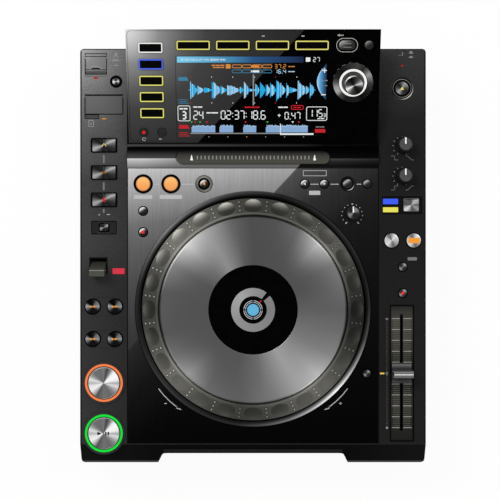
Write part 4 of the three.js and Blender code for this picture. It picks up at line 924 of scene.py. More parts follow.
# The raised surround of the wheel: anodised aluminium with painted light, dark to the rear and a painted highlight
# at the front right
surroundTones = {
    0: "#2c", 15: "#20", 40: "#2e", 75: "#20", 92: "#36", 105: "#40", 120: "#62", 138: "#7a", 150: "#5c",
    167: "#2c", 190: "#1e", 220: "#36", 245: "#28", 262: "#28", 275: "#48", 288: "#6c", 300: "#a8", 315: "#f0",
    330: "#94", 345: "#46",
}
surroundInner = {
    0: "#06", 37: "#18", 80: "#06", 120: "#10", 142: "#20", 165: "#0a", 217: "#26", 260: "#10", 290: "#20",
    315: "#50", 335: "#18",
}
surroundSlope = {
    0: "#1c", 37: "#2c", 75: "#5c", 97: "#6c", 120: "#80", 142: "#90", 165: "#54", 187: "#34", 217: "#38",
    262: "#14", 315: "#12", 345: "#16",
}
bm = bmesh.new()
profile = [(103.88, -1.5), (109.42, -1.5), (109.42, 0.5), (108.4, 2.55), (104.5, 2.2), (103.88, 2.0)]
for face in lathe(bm, profile, 240, 0, closed=True):
    middle = face.calc_center_median()
    if math.hypot(middle.x, middle.y) > 108.5 and middle.z > 0.6:
        face.material_index = 1
makePiece(
    "jogSurround",
    bm,
    [
        paintedFanMetal("surroundAluminiumTurnedPaintedLight", surroundInner, surroundTones, 103.9, 107.2, 0.35),
        paintedFanMetal("surroundSlopeAluminiumTurnedPaintedLight", surroundSlope, surroundSlope, 103.0, 109.0, 0.35),
    ],
    "player",
    (),
    (jogX, jogY, deckTop),
)
print("jog wheel is made")

# The display's keys
tip = panelOrigin
panelTop = -0.2
keys = {
    "sourceX": -92.1, "sourceTop": 87.57, "pitch": 14.95, "source": (21.6, 9.1), "menuX": -53.7, "menuStep": 35.5,
    "menuY": 89.75, "menu": (29.8, 8.2), "border": 1.0, "rise": 1.0,
}
# Clear polycarbonate over a lamp: the rim of the key glows in one colour
litWhite = litPlastic("keyRimPolycarbonateWhite", "#f4f4f0")
litBlue = litPlastic("keyRimPolycarbonateBlue", "#4c68f8")
litYellow = litPlastic("keyRimPolycarbonateYellow", "#e1dc6e")
# Smoked polycarbonate of the key's face: near black and smooth
keyFace = mouldedPlastic("keyFacePolycarbonateSmoked", "#020202", "#060606", 2.0, 2.0, 0.2, 0.02, 0.0)
# Moulded silicone of the keypad under the panel: matt black
keypadRubber = mouldedPlastic("keypadSiliconeMoulded", "#12", "#18", 2.0, 0.8, 0.7, 0.1, 0.02)


def litKey(bm, size, x, y, rimMaterial):
    width, depth = size
    roundSlab(bm, width, depth, 1.3, -3.9, keys["rise"] - 0.25, 0.2, 0, x, y)
    frameSlab(bm, width, depth, 1.3, keys["border"], keys["rise"] - 0.4, keys["rise"], rimMaterial, x, y)
    inner = (width - keys["border"] * 2 - 0.6, depth - keys["border"] * 2 - 0.6)
    roundSlab(bm, *inner, 0.5, keys["rise"] - 0.4, keys["rise"] - 0.1, 0.15, 0, x, y)


bm = bmesh.new()
for index in range(5):
    litKey(bm, keys["source"], keys["sourceX"], keys["sourceTop"] - keys["pitch"] * index, (1, 2, 3, 3, 3)[index])
reach = keys["pitch"] * 4 + 10.6
roundSlab(bm, 12.0, reach, 1.0, -3.9, -2.6, 0.2, 4, keys["sourceX"], keys["sourceTop"] - keys["pitch"] * 2)
makePiece(
    "sourceKeys", bm, [keyFace, litWhite, litBlue, litYellow, keypadRubber], "source_keys",
    ["source_keys"], tip, panel["tilt"],
)
bm = bmesh.new()
for index in range(4):
    litKey(bm, keys["menu"], keys["menuX"] + keys["menuStep"] * index, keys["menuY"], 1)
roundSlab(
    bm, keys["menuStep"] * 3 + 31.6, 4.5, 1.0, -3.9, -2.6, 0.2, 2, keys["menuX"] + keys["menuStep"] * 1.5,
    keys["menuY"]
)
makePiece(
    "menuKeys", bm, [keyFace, litYellow, keypadRubber], "menu_keys", ["menu_keys"], tip, panel["tilt"]
)


def domeCap(name, light, middle, dark, reach):
    # moulded ABS caps with a satin crown and painted light: a painted highlight on the rear left, painted shade on
    # the front right
    material, tree = startMaterial(name)
    place = placeInMm(tree)
    along = addNode(
        tree, "VectorMath", {"operation": "DOT_PRODUCT", 1: (-0.55 / reach, 0.83 / reach, 0.0)}, {0: place}
    ).outputs["Value"]
    tone = toneAlong(tree, along, -1, 1, {0: dark, 0.45: dark, 0.62: middle, 0.9: light, 1: middle})
    satinSkin(tree, place, tone, 0.4, 0.1, (0.06, 0.7), (0.6, 0.02))
    return material


def capProfile(radius, height, dome, bevel=0.5, bottom=-5.5, flange=1.0):
    profile = [
        (radius + flange, bottom), (radius + flange, bottom + 1.2), (radius, bottom + 1.2),
        (radius, height - bevel), (radius - bevel * 0.3, height - bevel * 0.25), (radius - bevel, height),
    ]
    for step in range(1, 7):
        share = step / 7
        profile.append(((radius - bevel) * (1 - share), height + dome * (1 - (1 - share) ** 2)))
    return profile


backX, tagX, topRow = 84.3, 104.0, 89.75
dialX, dialY = 90.5, 55.85
smokeCap = domeCap("panelCapAbsSatinPaintedHighlight", "#8a8a86", "#3c3c3a", "#1c1c1b", 5.0)
bm = bmesh.new()
roundSlab(bm, 14.6, 8.4, 3.9, -3.9, 1.2, 0.7)
roundSlab(bm, 16.6, 10.4, 4.6, -3.9, -2.6, 0.1, 0)
for offset in (-1.6, 1.6):
    bar(bm, [(-3.6, offset), (3.6, offset)], 0.5, 1.1, 1.3, 1)
keyInk = printedInk("keyInkScreenPrinted", "#8c8c88", "#9c9c98", 1.0)


def onTilt(x, y, z=0.0):
    # a place on the tilted panel, in the frame's axes
    sine, cosine = math.sin(panel["tilt"]), math.cos(panel["tilt"])
    return (tip[0] + x, tip[1] + y * cosine - z * sine, tip[2] + y * sine + z * cosine)


makePiece(
    "backKey", bm, [domeCap("backKeyAbsSatinPaintedHighlight", "#a0a09c", "#4a4a48", "#262625", 7.0), keyInk], "back_key",
    ["back_key"], onTilt(backX, topRow), panel["tilt"],
)
bm = bmesh.new()
lathe(bm, capProfile(3.95, 0.9, 0.4, 0.5, -3.9), 48)
makePiece("tagKey", bm, [smokeCap], "tag_key", ["tag_key"], onTilt(tagX, topRow), panel["tilt"])

# Quantize and time keys: two small caps, the left one with a red lamp in its middle
bm = bmesh.new()
litRed = litPlastic("lampPolycarbonateRed", "#ff2a20", "#e01010", 1.4)
for x, hasLamp in ((-8.35, True), (8.35, False)):
    lathe(bm, capProfile(3.95, 0.7, 0.35, 0.5, -3.9), 48, 0, x)
    if hasLamp:
        lathe(bm, [(1.5, 0.6), (1.5, 1.12), (1.1, 1.25)], 24, 1, x)
roundSlab(bm, 16.7, 4.4, 0.8, -3.9, -2.6, 0.1, 2)
modeCap = mouldedPlastic("modeCapAbsMatt", "#1a1a19", "#262624", 1.2, 0.6, 0.5, 0.1, 0.02)
makePiece(
    "modeKeys", bm, [modeCap, litRed, keypadRubber], "mode_keys", ["mode_keys"],
    onTilt(-91.95, 9.78), panel["tilt"],
)

# The selector: a spun dark base in painted wedges of light with a lit ring, and a knob with a machined face in
# painted wedges, a painted highlight on its upper edge and a painted bright rim line
baseSpun = spunMetalPaintedWedges("selectorBaseAluminiumAnodisedPaintedWedges", {
    0: "#3c", 14: "#6c", 28: "#98", 40: "#60", 54: "#28", 75: "#40", 105: "#2c", 135: "#14", 165: "#24",
    180: "#58", 196: "#9c", 210: "#a4", 224: "#48", 245: "#1a", 285: "#1e", 300: "#0e", 330: "#1c", 345: "#2a",
}, 0.5, 0.14, 0.35)
knobSpun = spunMetalPaintedWedges("selectorFaceAluminiumMachinedPaintedWedges", {
    0: "#78", 14: "#d0", 30: "#90", 48: "#50", 75: "#2c", 105: "#14", 120: "#0c", 150: "#22", 178: "#44",
    194: "#98", 208: "#f4", 222: "#b0", 240: "#5c", 262: "#34", 300: "#10", 330: "#20", 346: "#38",
}, 0.5, 0.1, 0.3)
crescent = spunMetalPaintedWedges("selectorEdgeAluminiumMachinedPaintedHighlight", {
    0: "#2c", 70: "#38", 100: "#c8", 120: "#f4", 150: "#d0", 178: "#70", 200: "#38",
})
bm = bmesh.new()
for inner, outer, top, bevel, kind in (
    (13.1, 18.1, 1.3, 0.3, 0), (12.6, 13.2, 1.0, 0.1, 1), (10.4, 12.6, 1.35, 0.3, 2), (17.8, 18.4, 1.0, 0.3, 3),
    (4.0, 10.4, 1.05, 0.1, 1),
):
    washer(bm, inner, outer, panelTop - 0.5, top, bevel, 96, kind)
rimHighlight = spunMetalPaintedWedges("selectorRimAluminiumTurnedPaintedHighlight", {
    0: "#80", 30: "#50", 70: "#80", 100: "#c0", 150: "#d8", 180: "#90", 230: "#50", 280: "#60", 310: "#e0",
    340: "#a0",
})
makePiece(
    "selectorBase", bm, [baseSpun, keyFace, litWhite, rimHighlight], "player", (), onTilt(dialX, dialY),
    panel["tilt"],
)
bm = bmesh.new()
grip = [(4.5, -3.9), (4.5, -2.5), (3.5, -2.5), (3.5, 1.5), (10.1, 1.5), (9.0, 11.6)]
rings = []
for row, (radius, height) in enumerate(grip):
    ring = circle(radius, height, 144)
    if row >= 4:
        for index, point in enumerate(ring):
            share = 1 - (0.018 if index % 4 < 2 else 0.0)
            point.x, point.y = point.x * share, point.y * share
    rings.append(ring)
loft(bm, rings, 0)
for face in lathe(bm, [(8.9, 11.5), (8.9, 12.2), (8.2, 13.2), (8.0, 13.3), (5.0, 13.1), (0.4, 13.0)], 96, 1):
    middle = face.calc_center_median()
    if math.hypot(middle.x, middle.y) > 8.0:
        face.material_index = 2
gripBlack = mouldedPlastic("knobGripAbsMoulded", "#10", "#1c", 1.5, 0.8, 0.45, 0.12, 0.02)
makePiece(
    "selectorDial", bm, [gripBlack, knobSpun, crescent], "selector_dial", ["selector_dial"],
    onTilt(dialX, dialY), panel["tilt"],
)

# Printed lines on the panel, in pale epoxy ink
panelInk = printedInk("panelInkScreenPrinted", "#a8a8a4", "#bcbcb8", 1.5)
bm = bmesh.new()
level = (panelTop - 0.02, panelTop + 0.06)
pill = [(p.x, p.y) for p in roundRect(18.9, 12.1, 6.0, 0, backX, topRow, 8)]
bar(bm, pill, 0.55, *level, 0, True)
for x in (keys["menuX"] + keys["menuStep"] * 2 - 9.5, keys["menuX"] + keys["menuStep"] * 3 - 9.5):
    bar(bm, [(x, 97.9), (x + 2.6, 97.9)], 0.9, *level)
bar(bm, [(backX - 3.4, 98.6), (backX - 7.2, 98.6)], 0.8, *level)
blot(bm, [(backX - 9.2, 98.6), (backX - 6.8, 99.8), (backX - 6.8, 97.4)], *level)
bar(bm, [(-86.6, 3.2), (-84.0, 3.2)], 0.8, *level)
bar(bm, arcPath(1.5, 0, 330, 12, -100.3, 3.2), 0.5, *level)
makePiece("panelMarks", bm, [panelInk], "player", (), tip, panel["tilt"])
print("display keys are made")

# The picture on the screen
# Lit pixels behind glass, each colour a little uneven as a backlight is
picture = {
    "white": "#e8ecec", "gray": "#8a8c8c", "cyan": "#18b4ee", "pale": "#b4d8f2", "steel": "#86aad4",
    "title": "#5ab0d8", "navy": "#0a2456", "orange": "#d88a3c", "red": "#c01822", "green": "#20c030",
    "teal": "#3c7c9c",
}
pictureNames = list(picture)
pixels = [litPlastic("screenLit" + name.capitalize(), code) for name, code in picture.items()]


def litAlong(name, low, high, stops):
    # lit pixels whose colour runs from left to right
    material, tree = startMaterial(name)
    colour = toneAlong(tree, axisOf(tree, placeInMm(tree), 0), low, high, stops)
    closeMaterial(tree, litLook, {"Emission Color": colour})
    return material


pictureNames += ["titleRun", "dialRun"]
pixels += [
    litAlong(
        "screenLitTitle", -68.5, 45.5,
        {0: "#78cdee", 0.35: "#4792bc", 0.6: "#1f4f80", 1: "#0a1c40"}
    ),
    litAlong("screenLitDial", 57.8, 66.6, {0: "#a0d8f8", 0.3: "#58a4d4", 0.7: "#235f8c", 1: "#0a2238"}),
]
glassTop = (-0.52, -0.44)
segments = {
    "a": ((0, 1), (1, 1)), "b": ((1, 1), (1, 0.5)), "c": ((1, 0.5), (1, 0)), "d": ((1, 0), (0, 0)),
    "e": ((0, 0), (0, 0.5)), "f": ((0, 0.5), (0, 1)), "g": ((0, 0.5), (1, 0.5)),
}
digitForms = {
    "0": "abcdef", "1": "bc", "2": "abged", "3": "abgcd", "4": "fgbc", "5": "afgcd", "6": "afgedc", "7": "abc",
    "8": "abcdefg", "9": "abcdfg",
}
# how high the dots stand, and how far the writing moves on
dots = {".": ((0.0,), 2.2), ":": ((0.3, 0.7), 2.4)}


def lit(name):
    return pictureNames.index(name)


def litBar(bm, name, x0, y0, x1, y1, width):
    bar(bm, [(x0, y0), (x1, y1)], width, *glassTop, lit(name))


def litBox(bm, name, left, front, right, rear):
    litBar(bm, name, left, (front + rear) / 2, right, (front + rear) / 2, rear - front)


def litPill(bm, name, width, depth, radius, x, y, stroke):
    # the outline of a box with round corners
    outline = [(p.x, p.y) for p in roundRect(width, depth, radius, 0, x, y, 3)]
    bar(bm, outline, stroke, *glassTop, lit(name), True)


def digits(bm, text, x, y, width, height, stroke, name, step):
    for mark in text:
        if mark in dots:
            shares, advance = dots[mark]
            for share in shares:
                middle = y + height * share
                litBox(bm, name, x, middle - stroke / 2, x + stroke, middle + stroke / 2)
            x += stroke * advance
            continue
        for segment in digitForms[mark]:
            (x0, y0), (x1, y1) = segments[segment]
            inset = 0.12 * width
            ends = [(x + width * x0, y + height * y0), (x + width * x1, y + height * y1)]
            dx, dy = ends[1][0] - ends[0][0], ends[1][1] - ends[0][1]
            size = math.hypot(dx, dy)
            ends = [
                (ends[0][0] + dx / size * inset, ends[0][1] + dy / size * inset),
                (ends[1][0] - dx / size * inset, ends[1][1] - dy / size * inset),
            ]
            bar(bm, ends, stroke, *glassTop, lit(name))
        x += step
    return x


def dashes(bm, name, x, y, lengths, width, gap=0.5):
    # a row of short strokes that stands for a line of writing
    for length in lengths:
        litBar(bm, name, x, y, x + length, y, width)
        x += length + gap


bm = bmesh.new()
# title bar, which darkens to the right
litBox(bm, "titleRun", -68.5, 74.0, 45.5, 79.4)
dashes(bm, "white", -64.5, 76.6, (1.6, 5.4, 3.0, 6.8, 4.4, 8.0, 5.2), 1.6, 0.9)
litBox(bm, "white", 47.5, 74.8, 51.5, 78.6)
digits(bm, "27", 54.2, 74.8, 2.2, 3.8, 0.55, "white", 3.4)
# two rows of phrase counters, orange over blue
for name, y, fill in (("orange", 70.6, "orange"), ("teal", 66.0, "white")):
    for index in range(4):
        litPill(bm, name, 8.4, 2.7, 1.0, -14.6 + 9.1 * index, y, 0.55)
    litBox(bm, fill, -2.0, y - 0.9, 5.6, y + 0.9)
dashes(bm, "orange", -37.4, 71.5, (3.4, 3.0, 4.0), 1.0)
dashes(bm, "orange", -36.2, 69.6, (2.4, 4.2, 2.4), 1.0)
litBox(bm, "orange", -24.6, 68.6, -20.4, 72.6)
digits(bm, "37.2", 19.6, 68.9, 2.1, 3.4, 0.55, "orange", 3.3)
digits(bm, "16.4", 19.6, 64.2, 2.1, 3.4, 0.55, "pale", 3.3)
dashes(bm, "orange", 31.8, 70.4, (2.2, 3.0), 0.8)
dashes(bm, "pale", 31.8, 65.8, (2.2, 3.0), 0.8)
# the running wave: bursts that die away on both sides of a middle line
dice = random.Random(7)
waveMiddle = 48.9
bursts = [
    (-57.0, 9.6, 5.6, "cyan"), (-50.6, 4.0, 5.0, "pale"), (-44.6, 2.4, 6.5, "cyan"), (-37.4, 9.2, 7.5, "pale"),
    (-29.4, 3.8, 5.4, "cyan"), (-23.5, 5.2, 11.0, "pale"), (-12.0, 3.0, 3.4, "cyan"), (-8.2, 7.6, 4.4, "pale"),
    (-3.6, 0.9, 5.6, "cyan"), (2.2, 6.8, 3.4, "cyan"), (6.4, 7.4, 4.6, "cyan"), (11.6, 6.4, 4.0, "pale"),
    (15.6, 7.2, 5.0, "cyan"), (21.2, 10.2, 8.6, "cyan"), (30.2, 7.6, 2.6, "pale"), (33.2, 2.4, 6.8, "cyan"),
    (40.6, 10.0, 7.0, "pale"), (48.0, 3.4, 3.4, "cyan"), (51.6, 7.6, 4.0, "cyan"),
]
for start, height, length, name in bursts:
    columns = max(int(length / 0.62), 1)
    for index in range(columns):
        share = index / columns
        tall = height * (1 - share) ** 0.7 * dice.uniform(0.72, 1.0) + 0.5
        x = start + 0.62 * index
        drawn = name if dice.random() > 0.25 else ("cyan" if name == "pale" else "pale")
        litBox(bm, drawn, x, waveMiddle - tall, x + 0.52, waveMiddle + tall * dice.uniform(0.85, 1.0))
litBar(bm, "cyan", -58.5, waveMiddle, 56.5, waveMiddle, 0.8)
for index, x in enumerate((-56.6, -37.6, -18.4, 1.4, 20.4, 39.6)):
    for y in (waveMiddle - 11.9, waveMiddle + 11.9):
        litBar(bm, "red" if index in (0, 4) else "white", x, y - 0.5, x, y + 0.5, 0.5)
litBar(bm, "gray", 0.3, 34.8, 0.3, 63.2, 1.2)
# zoom dial at the right edge: a slice of a disc with plus and minus signs
dial = [(66.4, 39.6), (66.4, 73.2)]
dial += [(66.4 - 8.4 * math.sin(math.pi * s / 14), 73.2 - 33.6 * s / 14) for s in range(1, 14)]
blot(bm, [(x, y) for x, y in dial[:1] + dial[:1:-1] + dial[1:2]], *glassTop, lit("dialRun"))
for s in range(2, 12):
    x0, y0 = 66.4 - 8.2 * math.sin(math.pi * s / 14), 73.2 - 33.6 * s / 14
    x1, y1 = 66.4 - 8.2 * math.sin(math.pi * (s + 1) / 14), 73.2 - 33.6 * (s + 1) / 14
    litBar(bm, "pale", x0, y0, x1, y1, 0.8)
plusTop = (-0.5, -0.40)
bar(bm, [(62.6, 66.8), (66.6, 66.8)], 0.9, *plusTop, lit("white"))
bar(bm, [(64.6, 68.8), (64.6, 64.8)], 0.9, *plusTop, lit("white"))
bar(bm, [(62.0, 44.6), (66.0, 44.6)], 0.9, *plusTop, lit("white"))
dashes(bm, "gray", 62.0, 57.6, (2.0, 3.0), 0.9)
dashes(bm, "gray", 61.0, 53.0, (3.4, 2.4), 0.9)
# tags at the left edge
for y, name in ((59.0, "teal"), (38.2, "teal"), (14.6, "red"), (7.6, "red")):
    outline = [(-67.8, y - 1.6), (-58.2, y - 1.6), (-60.0, y + 1.8), (-67.8, y + 1.8)]
    if y in (59.0, 14.6):
        blot(bm, outline, *glassTop, lit(name))
    else:
        bar(bm, outline, 0.5, *glassTop, lit(name), True)
        dashes(bm, name, -66.6, y, (2.4, 3.0), 0.9)
# counters
litPill(bm, "white", 11.0, 14.0, 1.4, -63.1, 27.3, 0.6)
dashes(bm, "white", -67.2, 31.6, (3.4, 3.4), 1.3)
digits(bm, "3", -64.6, 22.2, 3.0, 6.6, 1.3, "white", 4.0)
dashes(bm, "white", -54.6, 33.2, (3.6, 4.2), 1.1)
digits(bm, "24", -54.2, 21.8, 3.4, 7.6, 0.85, "white", 5.0)
dashes(bm, "white", -42.6, 27.8, (4.0, 6.0), 1.1)
after = -29.2
for group in ("02:", "37:", "18.6"):
    after = digits(bm, group, after, 22.0, 3.7, 7.6, 0.85, "white", 5.1)
dashes(bm, "red", -7.6, 33.0, (5.6, 3.4, 4.0), 1.2, 0.3)
dashes(bm, "white", 23.0, 33.0, (4.2, 4.0), 1.1)
litPill(bm, "red", 11.0, 3.6, 1.4, 40.4, 32.8, 0.7)
dashes(bm, "red", 36.8, 32.8, (3.0, 3.4), 1.0)
digits(bm, "0.47", 29.2, 22.0, 3.1, 6.2, 0.75, "white", 4.5)
litBar(bm, "white", 22.6, 25.4, 25.2, 25.4, 0.7)
litBar(bm, "white", 23.9, 26.7, 23.9, 24.1, 0.7)
litPill(bm, "white", 18.6, 12.6, 1.4, 58.2, 27.0, 0.6)
digits(bm, "115", 51.0, 24.0, 3.2, 6.8, 0.8, "white", 4.5)
digits(bm, "3", 64.4, 24.0, 1.8, 3.2, 0.5, "white", 3.0)
dashes(bm, "white", 59.0, 22.4, (2.4, 3.2), 0.9)
# cue marks over the whole track, then the track itself
for x, name in (
    (-56.4, "green"), (-53.0, "red"), (-48.6, "green"), (-42.4, "red"), (-6.8, "red"), (13.2, "green"),
    (36.4, "white"), (42.0, "red"),
):
    blot(bm, [(x - 1.1, 19.8), (x, 18.2), (x + 1.1, 19.8)], *glassTop, lit(name))
for start, end, height in ((-56.4, -34.6, 6.4), (-30.8, -18.2, 6.6), (-9.0, 3.4, 6.6), (11.8, 50.6, 6.6)):
    for index in range(int((end - start) / 0.7)):
        tall = height * dice.uniform(0.8, 1.0) * (0.72 if index == 0 else 1.0)
        litBox(bm, "steel", start + 0.7 * index, 9.4, start + 0.7 * index + 0.66, 9.4 + tall)
        litBox(bm, "pale", start + 0.7 * index, 9.4 + tall, start + 0.7 * index + 0.66, 9.4 + tall + 0.6)
litBar(bm, "gray", -57.6, 8.5, 25.2, 8.5, 0.9)
litBar(bm, "white", 25.2, 7.9, 55.6, 7.9, 1.5)
litBar(bm, "white", 25.2, 7.2, 25.2, 17.6, 0.8)
for index in range(6):
    litBar(bm, "orange" if index == 2 else "gray", -41.0 + 17.4 * index, 5.2, -41.0 + 17.4 * index + 0.9, 5.2, 0.8)
litBox(bm, "red", 56.8, 9.2, 66.4, 12.6)
dashes(bm, "gray", 57.6, 14.6, (3.4, 4.0), 0.8)
makePiece("screenPicture", bm, pixels, "player", (), tip, panel["tilt"])
print("screen picture is drawn")

# Needle pad
needle = dict(zip(("low", "high"), cornersOf("needle_pad")))
padX, padY, _ = centreOf("needle_pad")
padRise = needle["high"][2] - deckTop
# Polished black ABS with a painted reflection of the room: a dark olive gray, paler at its front
padPaintedReflection = bandedPlastic("needlePadAbsPolishedPaintedReflection", -6.6, 6.6, {
    0: "#1c", 0.06: "#24", 0.1: "#484740", 0.35: "#46453f", 0.62: "#3a3934", 0.76: "#2e2d29", 0.86: "#1a",
    0.93: "#0c", 0.96: "#30", 1: "#30",
}, 0.2, 0.06, (0.04, 2.0), (8.0, 0.02))
padInk = printedInk("padInkScreenPrinted", "#858580", "#96968f")
padWhite = printedInk("padWhiteScreenPrinted", "#ececea", "#ffffff")
bm = bmesh.new()
roundSlab(bm, 141.6, 11.9, 5.9, padRise - 2.0, padRise - 0.05, 0.4, 0)
tick = {"count": 30, "first": -51.4, "pitch": 3.55, "width": 0.95, "length": 3.4}
for index in range(tick["count"]):
    x = tick["first"] + tick["pitch"] * index
    bar(bm, [(x, -tick["length"] / 2), (x, tick["length"] / 2)], tick["width"], padRise - 0.1, padRise, 1)
for x in (-56.7, 56.9):
    blot(bm, [(x - 1.3, -2.5), (x + 1.3, -2.5), (x + 0.25, 2.4), (x - 0.25, 2.4)], padRise - 0.1, padRise, 2)
makePiece(
    "needlePad", bm, [padPaintedReflection, padInk, padWhite], "player", ["needle_pad"],
    (padX, padY, deckTop)
)
print("needle pad is made")

# Round buttons on the deck
def capOf(node):
    # where a round cap stands, its radius over the flange, its top and its foot over the deck
    low, high = cornersOf(node)
    x, y, _ = centreOf(node)
    return x, y, (high[0] - low[0]) / 2 - 1.0, high[2] - deckTop, low[2] - deckTop


# Polished black plastic, near black, set in the gap round a cap and in other gaps as painted shade
gapBlack = mouldedPlastic("gapAbsBlackPolished", "#020202", "#050505", 2.0, 1.0, 0.4, 0.015, 0.0)
# Chromed ABS, brushed in circles: two bright painted wedges of reflection across a dark cap
chromeCap = spunMetalPaintedWedges("capAbsChromedSpunPaintedWedges", {
    0: "#34", 15: "#4a", 31: "#6c", 50: "#84", 67: "#7c", 88: "#54", 106: "#32", 140: "#22", 165: "#30", 183: "#50",
    202: "#78", 218: "#88", 235: "#72", 254: "#44", 280: "#2c", 330: "#22", 348: "#28",
}, 0.4, 0.12, 0.35)
darkCap = spunMetalPaintedWedges("capAbsDarkChromedSpunPaintedWedges", {
    0: "#90", 18: "#70", 45: "#60", 60: "#3c", 75: "#1c", 95: "#0a", 138: "#04", 152: "#34", 165: "#80", 180: "#90",
    196: "#6c", 212: "#4c", 226: "#24", 250: "#0f", 315: "#13", 332: "#30", 346: "#60",
}, 0.4, 0.12, 0.35)
# the disc's key: painted gray wedges of reflection at the rear right and the front left
ejectCap = spunMetalPaintedWedges("capAbsGreyChromedSpunPaintedWedges", {
    0: "#3c", 15: "#50", 30: "#68", 50: "#7c", 68: "#78", 88: "#58", 105: "#36", 130: "#1e", 150: "#20", 180: "#3e",
    200: "#68", 222: "#92", 240: "#84", 258: "#58", 275: "#32", 320: "#20", 345: "#2c",
}, 0.4, 0.12, 0.35)
# the small stop key: painted pale wedges of reflection at its left and right
stopCap = spunMetalPaintedWedges("capAbsBrightChromedSpunPaintedWedges", {
    0: "#c4", 15: "#b8", 30: "#88", 55: "#48", 90: "#28", 130: "#2c", 155: "#68", 180: "#a4", 195: "#bc",
    215: "#98", 240: "#50", 270: "#24", 300: "#28", 325: "#60", 345: "#98",
}, 0.4, 0.12, 0.35)
playCap = spunMetalPaintedWedges("capAluminiumSpunPaintedWedges", {
    0: "#a4", 12: "#e6", 30: "#f4", 46: "#ea", 60: "#82", 75: "#3c", 90: "#72", 105: "#68", 135: "#6c", 150: "#94",
    165: "#da", 180: "#b0", 194: "#e0", 211: "#ea", 226: "#b0", 241: "#50", 256: "#62", 272: "#6e", 300: "#66",
    318: "#80", 332: "#a6", 346: "#d8",
}, 0.5, 0.08, 0.3)
syncCap = spunMetalPaintedWedges("capAluminiumPalePaintedWedges", {
    0: "#ae", 28: "#bc", 46: "#d4", 62: "#c4", 80: "#a4", 106: "#68", 122: "#68", 138: "#88", 162: "#c0",
    196: "#c2", 212: "#d4", 228: "#d0", 246: "#ac", 270: "#7e", 286: "#62", 302: "#70", 330: "#98",
}, 0.4, 0.06, 0.3)
# Satin domed ABS: a painted highlight as a pale spot on the rear left of a dark cap
smallDome = domeCap("capAbsDomedSatinPaintedHighlight", "#e8e8e4", "#6c6c68", "#181817", 3.6)
deepDome = domeCap("capAbsDomedDarkPaintedHighlight", "#b4b4b0", "#50504e", "#1a1a19", 3.6)
# Clear orange polycarbonate, lit from below: warm orange, yellower to the rear
amberCap, tree = startMaterial("capPolycarbonateAmberLit")
place = placeInMm(tree)
amber = toneAlong(tree, axisOf(tree, place, 1), -6.5, 6.5, {0: "#ea9a54", 0.5: "#f6a85c", 1: "#fbc47c"})
atEdge = addNode(tree, "MapRange", {"From Min": 5.6, "From Max": 6.7}, {"Value": reachOf(tree, place)})
amber = blendColours(tree, atEdge, amber, linear("#8a5c38"))
closeMaterial(
    tree,
    {"Base Color": linear("#3a2010"), "Roughness": 0.4, "Specular IOR Level": 0.1, "Emission Strength": 1.0},
    {"Emission Color": scaleColour(tree, amber, unevenShare(tree, place, 0.05, 0.8))},
)
inkOrange = litPlastic("inkAmberLit", "#f29a30")
inkYellow = litPlastic("inkYellowLit", "#e8d878")
inkBlack = printedInk("inkBlackPadPrinted", "#0c", "#14", 1.0)
inkWhite = printedInk("inkWhitePadPrinted", "#dadad6", "#ececea", 1.0)


def arrowMarks(bm, top, side):
    # two small triangles in a row that point to one side
    for x in (-1.5, 1.1):
        blot(bm, [(x - 1.2 * side, -1.0), (x + 1.5 * side, 0.0), (x - 1.2 * side, 1.0)], top - 0.3, top, 1)


def playMarks(bm, top, side):
    blot(bm, [(-5.8, -1.75), (-5.8, 1.75), (-2.0, 0.0)], top - 0.3, top, 1)
    blot(bm, [(-0.6, -1.0), (-0.2, -1.0), (0.7, 1.6), (0.3, 1.6)], top - 0.3, top, 1)
    for x in (2.0, 4.3):
        bar(bm, [(x, -1.6), (x, 1.6)], 1.4, top - 0.3, top, 1)


def triangleMark(bm, top, side):
    blot(bm, [(-0.8 * side, -1.2), (-0.8 * side, 1.2), (1.4 * side, 0.0)], top - 0.5, top, 1)


def risingMark(bm, top, side):
    blot(bm, [(-1.7, -1.5), (1.9, -1.5), (0.1, 1.5)], top - 0.4, top, 1)


def dotMark(bm, top, side):
    lathe(bm, [(1.5, top - 0.7), (1.5, top - 0.06), (1.2, top)], 24, 1)


def smallDotMark(bm, top, side):
    blot(bm, [(0.5, -1.3), (1.3, -0.2), (0.9, 1.2), (-0.3, 1.5), (-0.9, 0.4), (-0.4, -0.8)], top - 0.5, top, 1)


def bandMark(bm, top, side):
    roundSlab(bm, 10.7, 4.9, 0.4, top - 0.3, top, 0.05, 1, 0.3, 0)


